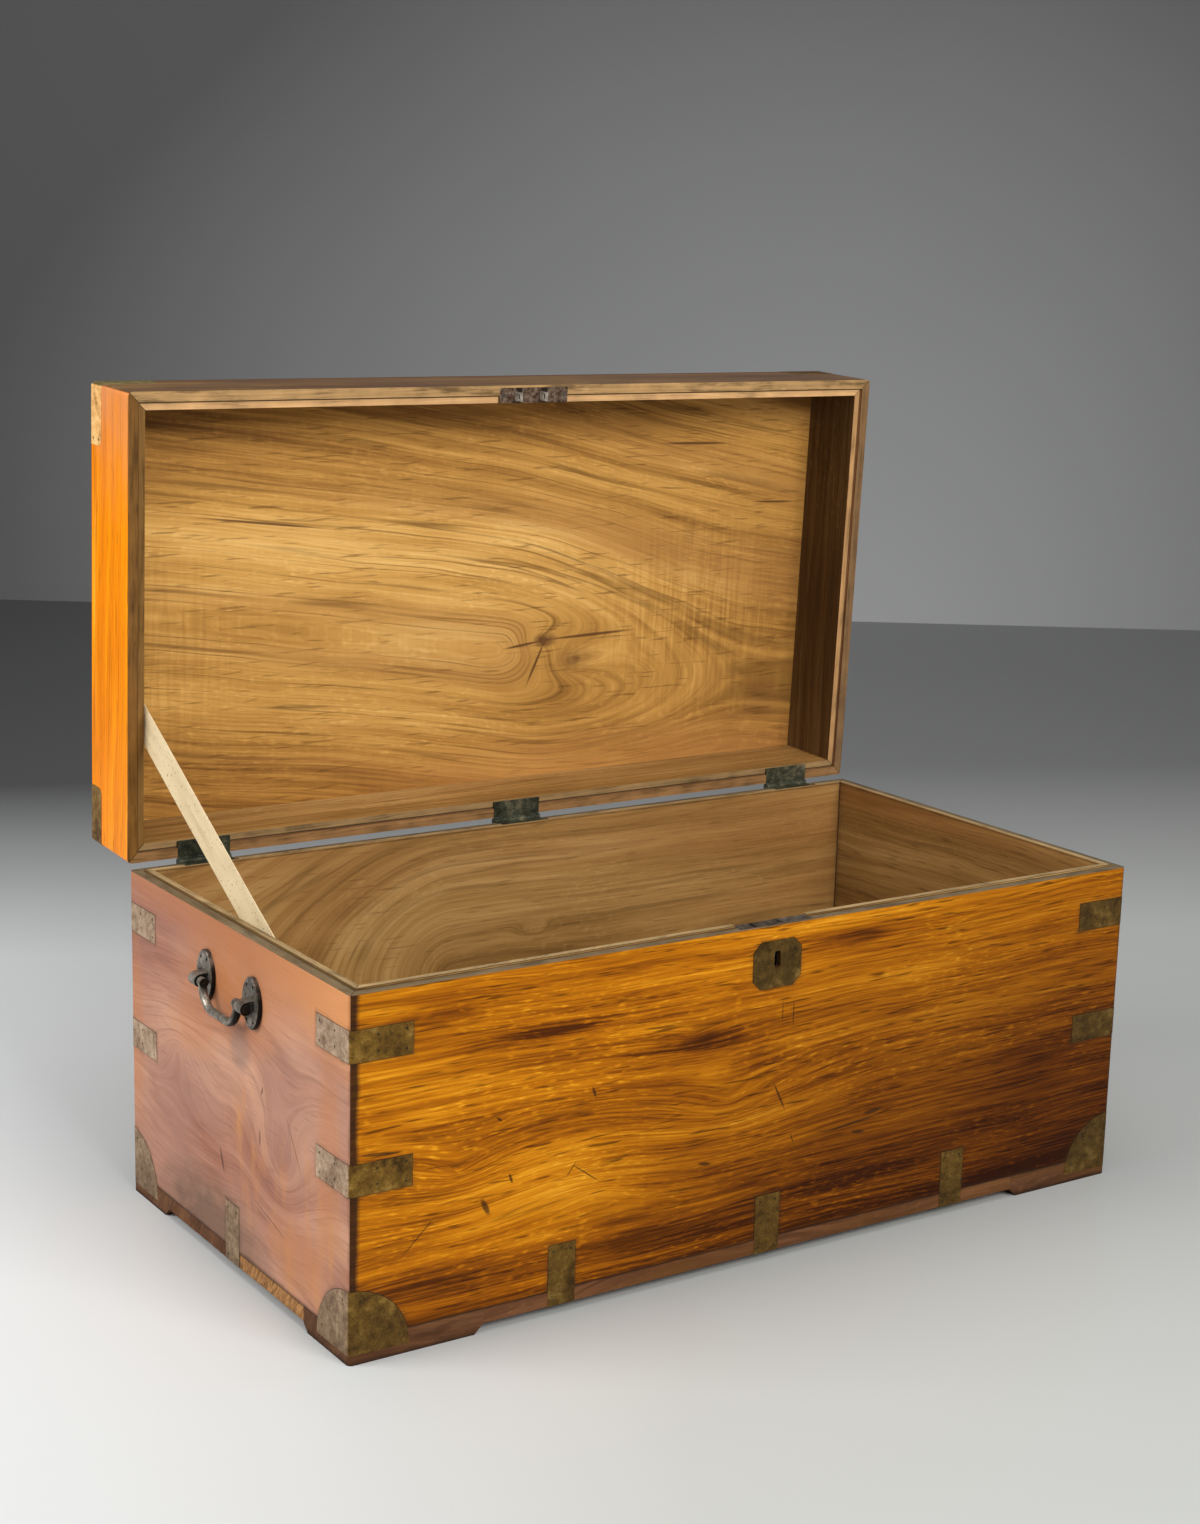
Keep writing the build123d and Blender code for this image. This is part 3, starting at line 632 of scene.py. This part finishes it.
def lining_wood(name, grain, seed, stops, **figure):
    s = Wood(name, grain, seed=seed)
    s.figure(**figure)
    colour = s.layers(
        stops,
        clouds=0.3,
        bands=(0.45, 1.2, 30.0),
        fibre=0.25,
        lines=(0.55, 0.9, 34.0),
        flecks=(0.12, 120.0, 200.0),
    )
    red = s.noise(s.flow, (0.7, 9.0, 2.0), 2.0, low=0.52, high=0.66)
    colour = s.mix(s.times(red, 0.35), colour, dark((0.42, 0.17, 0.05), 0.8))
    inside_corner_shade = s.math("MAXIMUM", s.from_side, s.from_end)
    inset = s.math("MINIMUM", s.from_side, s.from_end)
    joint = s.times(
        s.spread(s.gap(s.from_side, s.from_end), 0.0, 0.002, 0.9, 0.0),
        s.spread(inset, wall_thickness - 0.0005, wall_thickness - 0.0003),
    )
    colour = s.mix(joint, colour, ink)
    # Painted shade in the inside corners of the case
    colour = s.mix(s.spread(inside_corner_shade, 0.02, 0.03, 0.2, 0.0), colour, ink)
    return s.settle(lip_rim(s, colour), gloss=0.62)


def panel_wood():
    s = Wood("panel_wood", "xyz", lid=True, seed=13.0)
    s.figure(
        centre=0.018,
        tilt=0.16,
        nose=(0.02, 0.42, 0.014),
        knots=[
            (0.088, 0.012, 0.07, 0.035, 0.022),
            (0.135, 0.040, 0.15, 0.06, 0.045),
        ],
        warp=0.03,
    )
    ripples = s.streaks(190.0, 10.0, 0.42, 0.62)
    right = s.spread(s.spot(s.place, (0.31, -0.01), (0.17, 0.15)), 0.0, 0.7)
    left = s.spread(s.spot(s.place, (-0.42, -0.01), (0.12, 0.16)), 0.0, 0.7)
    wide = s.math("MAXIMUM", s.times(right, 0.16), s.times(left, 0.08))
    wide = s.math("MAXIMUM", wide, 0.015)
    glow = s.spread(s.spot(s.place, (-0.08, -0.09), (0.55, 0.21)), 0.0, 0.6)
    glow = s.math("MULTIPLY_ADD", glow, 0.25, -0.11)
    colour = s.layers(
        tan,
        clouds=0.22,
        bands=(0.46, 0.9, 26.0),
        fibre=0.24,
        lines=(0.8, 0.7, 52.0),
        flecks=(0.14, 90.0, 260.0),
        pores=0.5,
        shift=glow,
        ripple=s.times(ripples, wide),
    )
    red = s.noise(s.flow, (0.5, 10.0, 2.0), 2.0, low=0.5, high=0.62)
    colour = s.mix(s.times(red, 0.4), colour, (0.42, 0.19, 0.055))
    low_red = s.blot((0.22, 0.17), (0.42, 0.05))
    colour = s.mix(s.times(low_red, 0.4), colour, (0.45, 0.20, 0.06))
    for centre, reach, share in (
        ((0.088, 0.0125), (0.020, 0.011), 0.9),
        ((0.130, 0.0405), (0.014, 0.009), 0.55),
        ((0.130, 0.0405), (0.045, 0.022), 0.25),
        ((0.44, 0.115), (0.06, 0.035), 0.25),
        ((0.30, -0.11), (0.010, 0.02), 0.2),
    ):
        knot = s.blot(centre, reach)
        colour = s.mix(s.times(knot, share), colour, (0.13, 0.05, 0.02))
    colour = s.marks(colour, panel_marks, (0.10, 0.04, 0.015), 0.85)
    outside = s.spread(s.z, panel_z + 0.0003, panel_z + 0.0012)
    skin = s.mix(1.0, colour, (0.62, 0.50, 0.38), "MULTIPLY")
    edge_grain = s.join(s.y, s.z, s.x)
    orange_edge = s.shades(s.noise(edge_grain, (4.0, 160.0, 1.0), 3.0), orange)
    left_edge = s.spread(s.x, -half_width, 0.0002 - half_width, 1.0, 0.0)
    left_edge = s.times(left_edge, s.spread(s.z, lid_top_z - 0.002, lid_top_z - 0.001, 1.0, 0.0))
    skin = s.mix(left_edge, skin, orange_edge)
    front_edge = s.spread(s.y, front_y, front_y + 0.0002, 1.0, 0.0)
    skin = s.mix(front_edge, skin, (0.09, 0.045, 0.025))
    colour = s.mix(outside, colour, skin)
    return s.settle(colour, gloss=0.5)


def rail_wood(name, grain, seed, stops, pale, grime, tint):
    s = Wood(name, grain, lid=True, seed=seed)
    s.figure(warp=0.03)
    colour = s.layers(
        stops,
        clouds=0.25,
        bands=(0.5, 1.4, 70.0),
        fibre=0.25,
        lines=(0.6, 1.5, 90.0),
        flecks=(0.1, 100.0, 300.0),
        pores=0.5,
    )
    near = s.spread(s.y, -0.31, -0.16, 1.0, 0.0)
    colour = s.mix(s.times(near, s.streaks(8.0, 20.0, 0.3, 0.6), 0.7), colour, tint)
    corner = s.math("MAXIMUM", s.from_side, s.from_end)
    colour = s.mix(s.spread(corner, 0.0, 0.003, 0.5, 0.0), colour, ink)
    rim_edge = s.math("SUBTRACT", s.z, lid_rim_z)
    colour = s.edge(colour, rim_edge, 0.003, dark(stops[0], 0.6), 0.8)
    colour = s.edge(colour, corner, 0.003, dark(stops[0], 0.8), 0.6)
    return s.settle(lid_rim(s, colour, lid_rim_z, pale, grime), gloss=0.4, coat=0.15)


def strip_wood(name, grain, seed, stops, pale, grime=0.25):
    s = Wood(name, grain, lid=True, seed=seed)
    s.figure(warp=0.03)
    colour = s.layers(
        stops, clouds=0.3, bands=(0.45, 1.0, 44.0), lines=(0.5, 1.0, 50.0), pores=0.4
    )
    return s.settle(lid_rim(s, colour, lid_rim_z + strip_recess, pale, grime), gloss=0.55)


dress(front_wood(), "front_board")
dress(side_wood(), "left_board", "right_board")
dress(back_wood(), "back_board")
dress(
    base_wood("base_wood", 5.0, [dark(c, 0.75) for c in russet]),
    "base_board",
)
dress(
    base_wood("foot_wood", 6.0, [dark(c, 0.55) for c in russet]),
    "foot_front_left",
    "foot_front_right",
    "foot_back_left",
    "foot_back_right",
)
dress(
    lining_wood(
        "lining_wood",
        "xzy",
        7.0,
        honey,
        centre=0.20,
        tilt=0.0,
        nose=(-0.10, -0.50, 0.040),
        knots=[(0.014, 0.2375, 0.05, 0.016, 0.02)],
        warp=0.03,
    ),
    "back_lining",
    "front_lining",
)
dress(
    lining_wood("end_lining_wood", "yzx", 9.0, [dark(c, 0.85) for c in honey], warp=0.07),
    "left_lining",
    "right_lining",
)
dress(panel_wood(), "lid_panel")
dress(
    rail_wood(
        "front_rail_wood", "xzy", 15.0, umber, (0.46, 0.27, 0.11), 0.75, (0.10, 0.05, 0.03)
    ),
    "lid_rail_front",
)
dress(
    rail_wood(
        "back_rail_wood", "xzy", 16.0, russet, (0.33, 0.17, 0.065), 0.45, (0.3, 0.13, 0.05)
    ),
    "lid_rail_back",
)
dress(
    rail_wood(
        "left_rail_wood", "yzx", 17.0, orange, (0.20, 0.09, 0.02), 0.5, (0.58, 0.24, 0.11)
    ),
    "lid_rail_left",
)
dress(
    rail_wood(
        "right_rail_wood", "yzx", 18.0, russet, (0.22, 0.12, 0.05), 0.5, (0.4, 0.16, 0.06)
    ),
    "lid_rail_right",
)
dress(strip_wood("front_strip", "xzy", 19.0, honey, (0.68, 0.39, 0.17), 0.1), "lid_lining_front")
dress(strip_wood("back_strip", "xzy", 20.0, honey, (0.34, 0.21, 0.09)), "lid_lining_back")
dress(strip_wood("left_strip", "yzx", 23.0, umber, (0.22, 0.11, 0.03)), "lid_lining_left")
dress(
    strip_wood("right_strip", "yzx", 24.0, [dark(c, 0.75) for c in umber], (0.50, 0.27, 0.11)),
    "lid_lining_right",
)


# Metal


def patina(name, colours, metallic, rough, grime, spots=0.5, pale=None, shade_below=0.0):
    """Old metal, mottled, with dark grime in patches, and darker to the right and at the foot.
    Pale is a painted reflection: paler colours on the two side faces. The last share is painted
    shade on what faces down or forward, partly the metal's own dark paint."""
    s = Shader(name, Metallic=metallic, Specular_IOR_Level=0.15)
    mottle = s.noise(s.object_place, (110.0, 110.0, 110.0), 4.0, 0.65)
    broad = s.noise(s.object_place, (26.0, 26.0, 26.0), 2.0)
    tone = s.math("MULTIPLY_ADD", mottle, 0.55, s.times(broad, 0.45))
    colour = s.shades(tone, colours)
    if pale:
        x, _, z = s.split(s.object_place)
        # Darker to the right and at the foot
        right_and_foot = s.math("MAXIMUM", s.spread(x, 0.0, 0.45), s.spread(z, 0.03, 0.11, 0.8, 0.0))
        colour = s.mix(s.times(right_and_foot, 0.5), colour, grime)
        # Painted reflection: the side faces take the paler colours, less of them low down
        side_reflection = s.spread(s.math("ABSOLUTE", x), half_width - 0.0008, half_width)
        side_reflection = s.times(side_reflection, s.spread(z, 0.02, 0.15, 0.45, 1.0))
        colour = s.mix(side_reflection, colour, s.shades(tone, pale))
    specks = s.noise(s.object_place, (330.0, 330.0, 330.0), 3.0, 0.6, 0.55, 0.66)
    patches = s.noise(s.object_place, (60.0, 60.0, 60.0), 2.0, low=0.35, high=0.7)
    dirt = s.times(s.math("MAXIMUM", specks, s.times(patches, 0.4)), spots)
    colour = s.mix(dirt, colour, grime)
    bright = s.noise(s.object_place, (700.0, 700.0, 700.0), 1.0, low=0.68, high=0.75)
    colour = s.mix(s.times(bright, 0.5), colour, colours[-1])
    # Painted shade on faces turned down and toward the front, partly the metal's own dark paint
    if shade_below:
        facing = s.add("TexCoord", output=1)
        below = {0: facing, 1: (0.0, -0.75, -0.65)}
        below = s.add("VectorMath", below, output=1, operation="DOT_PRODUCT")
        colour = s.mix(s.spread(below, 0.25, 0.6, 0.0, shade_below), colour, grime)
    return s.finish(
        Base_Color=colour,
        Roughness=s.spread(mottle, 0.0, 1.0, rough + 0.15, rough - 0.08),
        Normal=s.bump(s.math("SUBTRACT", mottle, specks), 0.0002),
    )


brass = patina(
    "aged_brass",
    [(0.050, 0.024, 0.003), (0.12, 0.060, 0.007), (0.19, 0.100, 0.014), (0.34, 0.20, 0.045)],
    0.3,
    0.42,
    (0.022, 0.011, 0.004),
    pale=[(0.16, 0.095, 0.055), (0.32, 0.205, 0.125), (0.45, 0.31, 0.20), (0.6, 0.44, 0.30)],
)
hinge_metal = patina(
    "hinge_brass",
    [(0.012, 0.014, 0.009), (0.04, 0.042, 0.024), (0.085, 0.085, 0.052), (0.26, 0.22, 0.13)],
    0.4,
    0.45,
    (0.010, 0.009, 0.006),
)
lock_metal = patina(
    "lock_metal",
    [(0.04, 0.035, 0.03), (0.09, 0.08, 0.068), (0.17, 0.15, 0.125), (0.36, 0.31, 0.25)],
    0.6,
    0.42,
    (0.02, 0.016, 0.012),
)
handle_metal = patina(
    "handle_bronze",
    [(0.04, 0.034, 0.027), (0.12, 0.100, 0.080), (0.24, 0.205, 0.165), (0.45, 0.40, 0.33)],
    0.6,
    0.34,
    (0.006, 0.005, 0.004),
    shade_below=0.95,
)
metals = {
    "inlay_brass": brass,
    "hinge_brass": hinge_metal,
    "lock_metal": lock_metal,
    "handle_bronze": handle_metal,
}
for part in frame["record"]["subparts"]:
    if part["material_slot"] in metals:
        dress(metals[part["material_slot"]], part["node"])


loop_xs = (-0.025, 0.009)
hollow_side = 0.005


def link_metal():
    """Rusted brown plate, with painted shadow in the hollows beside its two brighter loops."""
    s = Shader("link_metal", Metallic=0.4, Specular_IOR_Level=0.15)
    mottle = s.noise(s.object_place, (160.0, 160.0, 160.0), 4.0, 0.65)
    rust = [(0.03, 0.014, 0.008), (0.08, 0.045, 0.027), (0.15, 0.10, 0.07), (0.24, 0.17, 0.12)]
    steel = [(0.15, 0.13, 0.10), (0.28, 0.24, 0.19), (0.40, 0.35, 0.28), (0.55, 0.48, 0.4)]
    x, y, _ = s.split(s.object_place)
    face_y = (opened @ Vector((0.0, front_y, lid_rim_z))).y
    beside = s.math("MINIMUM", *(s.gap(x, loop_x + hollow_side) for loop_x in loop_xs))
    # Painted shadow in the openings beside the loops
    hollow_shadow = s.spread(beside, 0.003, 0.0045, 0.9, 0.0)
    colour = s.mix(hollow_shadow, s.shades(mottle, rust), (0.012, 0.008, 0.006))
    loop = s.spread(y, face_y - 0.0012, face_y - 0.0006, 1.0, 0.0)
    colour = s.mix(loop, colour, s.shades(mottle, steel))
    return s.finish(Base_Color=colour, Roughness=0.5, Normal=s.bump(mottle, 0.0002))


dress(link_metal(), "lid_link_plate")
dress(
    patina(
        "escutcheon_brass",
        [(0.030, 0.015, 0.002), (0.065, 0.034, 0.005), (0.11, 0.060, 0.010), (0.2, 0.12, 0.03)],
        0.3,
        0.42,
        (0.015, 0.008, 0.003),
    ),
    "escutcheon",
)
lit_brass = [(0.38, 0.16, 0.035), (0.62, 0.32, 0.10), (0.85, 0.48, 0.17), (0.95, 0.66, 0.30)]
olive = [(0.04, 0.03, 0.008), (0.08, 0.06, 0.02), (0.14, 0.11, 0.04), (0.24, 0.2, 0.09)]
dress(
    patina("lit_brass", olive, 0.1, 0.5, (0.1, 0.05, 0.02), 0.3, pale=lit_brass),
    "lid_corner_front_left",
)
dark_brass = [(0.05, 0.025, 0.006), (0.13, 0.065, 0.014), (0.22, 0.125, 0.032), (0.34, 0.2, 0.06)]
dress(patina("dark_brass", dark_brass, 0.2, 0.5, (0.03, 0.015, 0.005)), "lid_corner_back_left")


# Pins and screws

slot_turn = 2.4


def add_half_head(mesh, matrix, side, radius, thickness, slot_half):
    """The part of a round head on one side of its slot."""
    start = asin(slot_half / radius)
    outline = []
    for n in range(10):
        angle = start + (pi - 2 * start) * n / 9
        outline.append((radius * cos(angle), side * radius * sin(angle)))
    lower = [mesh.verts.new(matrix @ Vector((x, y, 0.0))) for x, y in outline]
    upper = [mesh.verts.new(matrix @ Vector((x, y, thickness))) for x, y in outline]
    mesh.faces.new(upper)
    for n in range(len(outline)):
        after = (n + 1) % len(outline)
        mesh.faces.new((lower[n], lower[after], upper[after], upper[n]))


def place_heads(name, heads, radius, thickness, material, body, slot, slot_half=0.0):
    """Heads of pins or screws as one mesh, each by its place and the way that it faces.

    A slotted head is two halves over a lower disc, turned by a different angle each time."""
    slotted = slot_half > 0.0
    mesh = bmesh.new()
    for count, (place, facing) in enumerate(heads):
        if body == "lid":
            place, facing = opened @ place, opened.to_3x3() @ facing
        turn = up.rotation_difference(facing).to_matrix().to_4x4()
        turn = turn @ Matrix.Rotation(count * slot_turn, 4, "Z")
        matrix = Matrix.Translation(place) @ turn
        depth = thickness * 0.3 if slotted else thickness
        bmesh.ops.create_cone(
            mesh,
            cap_ends=True,
            segments=18,
            radius1=radius,
            radius2=radius * (1.0 if slotted else 0.8),
            depth=depth,
            matrix=matrix @ Matrix.Translation((0, 0, depth / 2)),
        )
        for side in (1, -1) if slotted else ():
            add_half_head(mesh, matrix, side, radius, thickness, slot_half)
    bmesh.ops.recalc_face_normals(mesh, faces=mesh.faces)
    data = bpy.data.meshes.new(name)
    mesh.to_mesh(data)
    mesh.free()
    data.materials.append(material)
    piece = bpy.data.objects.new(name, data)
    bpy.context.collection.objects.link(piece)
    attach(piece, body)


def wall_pins():
    """Pins of the straps, fans, base straps and escutcheon on the four outer faces."""
    pins = []
    corner_pins = [(0.061, height + rise) for height in strap_heights for rise in (-0.010, 0.010)]
    corner_pins += [(0.030, height + rise) for height in strap_heights for rise in (-0.007, 0.009)]
    corner_pins += [(0.055, foot_z + 0.012), (0.012, foot_z + 0.055), (0.038, foot_z + 0.038)]
    base_pins = [(rise, across) for rise in (0.006, 0.058) for across in (-0.010, 0.010)]
    for end, facing in ((front_y - inlay_proud, -1.0), (back_y + inlay_proud, 1.0)):
        face = Vector((0.0, facing, 0.0))
        for side in (-1, 1):
            for inward, height in corner_pins:
                pins.append((Vector((side * (half_width - inward), end, height)), face))
        for x in (-base_strap_step, 0.0, base_strap_step):
            for rise, across in base_pins:
                pins.append((Vector((x + across, end, foot_z + rise)), face))
    for side in (-1, 1):
        x = side * (half_width + inlay_proud)
        face = Vector((side, 0.0, 0.0))
        for toward in (-1, 1):
            for inward, height in corner_pins:
                y = middle_y + toward * (half_depth - inward)
                pins.append((Vector((x, y, height)), face))
        for rise, across in base_pins:
            pins.append((Vector((x, middle_y + across, foot_z + rise)), face))
    for x in (-0.025, 0.025):
        for z in (escutcheon_z - 0.012, escutcheon_z + 0.012):
            pins.append((Vector((x, front_y - inlay_proud, z)), Vector((0.0, -1.0, 0.0))))
    return pins


def lid_pins():
    """Pins of the four lid corners, on the top and the two sides of each."""
    pins = []
    for side in (-1, 1):
        for toward in (-1, 1):
            corner = Vector((side * half_width, middle_y + toward * half_depth, lid_top_z))
            for a, b in ((0.055, 0.012), (0.012, 0.055), (0.036, 0.036)):
                pins.append((corner + Vector((-side * a, -toward * b, inlay_proud)), up))
            for inward, drop in ((0.060, 0.007), (0.060, 0.023), (0.022, 0.015)):
                place = corner + Vector((side * inlay_proud, -toward * inward, -drop))
                pins.append((place, Vector((side, 0.0, 0.0))))
                place = corner + Vector((-side * inward, toward * inlay_proud, -drop))
                pins.append((place, Vector((0.0, toward, 0.0))))
    return pins


pin_metal = patina(
    "pin_brass",
    [(0.015, 0.010, 0.005), (0.035, 0.023, 0.010), (0.07, 0.05, 0.02), (0.15, 0.11, 0.05)],
    0.4,
    0.5,
    (0.008, 0.006, 0.004),
)


def hinge_screws(height, facing):
    """Three screws to a leaf, the middle one further in."""
    return [
        (Vector((centre + step, back_y - inward, height)), facing)
        for centre in (-0.409, 0.0, 0.409)
        for step, inward in ((-0.022, 0.007), (0.0, 0.012), (0.022, 0.007))
    ]


def lock_screws(out, height, facing):
    return [(Vector((x, front_y + 0.0115, height)), facing) for x in (-out, out)]


def handle_screws():
    """Screw heads sunk in the four holes of each handle plate."""
    heads = []
    for side, facing in (("left", -1.0), ("right", 1.0)):
        x = facing * (half_width + 0.0036)
        for end in ("front", "back"):
            plate = f"handle_plate_{side}_{end}"
            centre = (low(plate) + high(plate)) / 2
            for across in (-0.007, 0.007):
                for rise in (-0.0185, 0.0185):
                    place = Vector((x, centre.y + across, centre.z + rise))
                    heads.append((place, Vector((facing, 0.0, 0.0))))
    return heads


pin_head = {"radius": 0.0014, "thickness": 0.00002, "material": pin_metal}
place_heads("wall_pins", wall_pins(), body="case", slot="inlay_brass", **pin_head)
place_heads("lid_pins", lid_pins(), body="lid", slot="inlay_brass", **pin_head)
for name, heads, material, body, slot in (
    ("case_hinge_screws", hinge_screws(rim_z, up), hinge_metal, "case", "hinge_brass"),
    ("lid_hinge_screws", hinge_screws(lid_rim_z, down), hinge_metal, "lid", "hinge_brass"),
    ("top_plate_screws", lock_screws(0.0425, rim_z, up), lock_metal, "case", "lock_metal"),
    ("link_plate_screws", lock_screws(0.041, lid_rim_z, down), lock_metal, "lid", "lock_metal"),
):
    place_heads(name, heads, 0.0026, 0.00025, material, body, slot, slot_half=0.0004)
place_heads(
    "handle_screws",
    handle_screws(),
    radius=0.00178,
    thickness=0.0007,
    material=pin_metal,
    body="case",
    slot="handle_bronze",
    slot_half=0.0003,
)


# Tape stay

tape_size = (0.4, 0.04)
tape_angle = radians(29.7)
tape_lift = 0.007
tape_gap = 0.0002


def tape_strip():
    """The strip from the case's left lining to the lid's, eased out of one plane."""
    box_low, box_high = low("stay_tape"), high("stay_tape")
    inner_x = box_low.x + tape_gap
    along = Vector((0, cos(tape_angle), sin(tape_angle)))
    side = Vector((0, -sin(tape_angle), cos(tape_angle)))
    centre = (box_low + box_high) / 2 + side * tape_lift
    length, width = tape_size
    steps, rows = 80, 8
    mesh = bmesh.new()
    grid = []
    for i in range(steps + 1):
        t = i / steps
        line = []
        for j in range(rows + 1):
            q = j / rows - 0.5
            wave = 0.0006 * (0.5 + 0.5 * sin(3 * pi * t + 2 * q))
            curl = wave + 0.0004 * cos(2 * pi * q)
            spot = centre + along * (t - 0.5) * length + side * q * width
            line.append(mesh.verts.new((inner_x + max(curl, 0), spot.y, spot.z)))
        grid.append(line)
    for i in range(steps):
        for j in range(rows):
            mesh.faces.new((grid[i][j], grid[i + 1][j], grid[i + 1][j + 1], grid[i][j + 1]))
    data = bpy.data.meshes.new("tape")
    mesh.to_mesh(data)
    mesh.free()
    piece = bpy.data.objects.new("tape", data)
    bpy.context.collection.objects.link(piece)
    thick = piece.modifiers.new("thick", "SOLIDIFY")
    thick.thickness = 0.0007
    thick.offset = 1.0
    return piece, centre - along * length / 2, centre + along * length / 2


def tape_cloth():
    s = Shader("tape_cotton", Roughness=0.9)
    turned = s.add(
        "VectorRotate", {"Vector": s.object_place, "Angle": -tape_angle}, rotation_type="X_AXIS"
    )
    _, y, z = s.split(turned)
    warp = s.math("SINE", s.math("MULTIPLY", z, 9000.0))
    weft = s.math("SINE", s.math("MULTIPLY", y, 7000.0))
    weave = s.math("MULTIPLY", warp, weft)
    specks = s.noise(turned, (200.0, 300.0, 300.0), 1.0, low=0.66, high=0.72)
    stain = s.noise(turned, (40.0, 14.0, 60.0), 3.0)
    colour = s.ramp(stain, [(0.0, (0.82, 0.62, 0.35)), (1.0, (0.97, 0.77, 0.47))])
    # Painted shade along fold lines in the tape
    crease_shade = s.noise(turned, (20.0, 12.0, 260.0), 2.0, low=0.62, high=0.7)
    colour = s.mix(s.times(crease_shade, 0.25), colour, (0.45, 0.32, 0.17))
    colour = s.mix(s.times(specks, 0.7), colour, (0.35, 0.23, 0.11))
    return s.finish(Base_Color=colour, Normal=s.bump(weave, 0.0002))


tape, tape_low, tape_high = tape_strip()
tape.data.materials.append(tape_cloth())
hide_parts("stay_tape")
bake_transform(tape)


# Stage, lamps and camera


def stage_plane(name, matrix, size, rough, shade):
    """A large plane whose colour is worked out from its place and a slow cloud."""
    bpy.ops.mesh.primitive_plane_add(size=size)
    plane = bpy.context.object
    plane.name = name
    plane.matrix_world = matrix
    s = Shader(name, Roughness=rough, Specular_IOR_Level=0.3)
    cloud = s.noise(s.object_place, (0.8, 0.8, 0.8), 3.0, low=0.0, high=1.0)
    plane.data.materials.append(s.finish(Base_Color=shade(s, s.times(cloud, 0.2))))


view_direction = radians(33.718)
view_drop = radians(12.272)
view_roll = radians(1.478)
camera_place = Vector((-1.5296, -2.2619, 1.0772))
camera_lens = 58.456
wall_distance = 6.9
level_view = Vector((sin(view_direction), cos(view_direction), 0.0))
level_side = Vector((cos(view_direction), -sin(view_direction), 0.0))


def floor_shade(s, cloud):
    """Painted light and shade: palest at the left, and dark beyond a line across the floor behind
    the trunk.
    """
    from_camera = s.vector("SUBTRACT", s.object_place, camera_place)

    def along(way):
        inputs = {0: from_camera, 1: way}
        return s.add("VectorMath", inputs, output=1, operation="DOT_PRODUCT")

    to_right = s.spread(along(level_side), -0.9, 0.1)
    distance = s.math("ADD", along(level_view - level_side * 0.2), cloud)
    near = s.mix(to_right, (0.72, 0.73, 0.73), (0.485, 0.495, 0.475))
    far = s.mix(to_right, (0.10, 0.10, 0.10), (0.21, 0.21, 0.21))
    return s.mix(s.spread(distance, 3.75, 4.95), near, far)


def wall_shade(s, cloud):
    """Painted light: palest low on the right, and darker all round from there."""
    inputs = {0: s.object_place, 1: (0.6, -1.4, 0.0)}
    distance = s.add("VectorMath", inputs, output=1, operation="DISTANCE")
    tone = s.spread(s.math("ADD", distance, cloud), 0.1, 2.6)
    return s.mix(tone, (0.47, 0.47, 0.47), (0.109, 0.109, 0.107))


stage_plane("floor", Matrix.Identity(4), 24.0, 0.4, floor_shade)
wall_matrix = Matrix.Translation(camera_place + level_view * wall_distance)
wall_turn = Matrix.Rotation(-view_direction, 4, "Z") @ Matrix.Rotation(pi / 2, 4, "X")
stage_plane("backdrop", wall_matrix @ wall_turn, 16.0, 0.8, wall_shade)


def lamp(name, place, target, size, power):
    data = bpy.data.lights.new(name, "AREA")
    data.shape = "RECTANGLE"
    data.size, data.size_y = size
    data.energy = power
    light = bpy.data.objects.new(name, data)
    bpy.context.collection.objects.link(light)
    light.location = place
    direction = Vector(target) - Vector(place)
    light.rotation_euler = direction.to_track_quat("-Z", "Y").to_euler()


lamp("front_lamp", (0.2, -3.8, 2.6), (0.0, -0.2, 0.35), (2.6, 1.8), 150.0)
lamp("left_lamp", (-3.2, 0.7, 2.2), (-0.3, 0.0, 0.3), (2.0, 2.0), 95.0)
lamp("top_lamp", (-0.4, -0.4, 3.6), (0.0, 0.0, 0.4), (3.0, 3.0), 50.0)

world = bpy.data.worlds.new("studio")
bpy.context.scene.world = world
world.use_nodes = True
background = world.node_tree.nodes["Background"]
background.inputs["Color"].default_value = (0.95, 0.97, 1.0, 1.0)
background.inputs["Strength"].default_value = 0.3


def add_camera():
    look = level_view * cos(view_drop) + down * sin(view_drop)
    upright = level_side.cross(look)
    turned_right = level_side * cos(view_roll) + upright * sin(view_roll)
    turned_up = upright * cos(view_roll) - level_side * sin(view_roll)
    data = bpy.data.cameras.new("camera")
    data.lens = camera_lens
    data.sensor_width = 36.0
    camera = bpy.data.objects.new("camera", data)
    bpy.context.collection.objects.link(camera)
    matrix = Matrix((turned_right, turned_up, -look)).transposed().to_4x4()
    matrix.translation = camera_place
    camera.matrix_world = matrix
    bpy.context.scene.camera = camera


add_camera()
bpy.context.scene.view_settings.view_transform = "Standard"
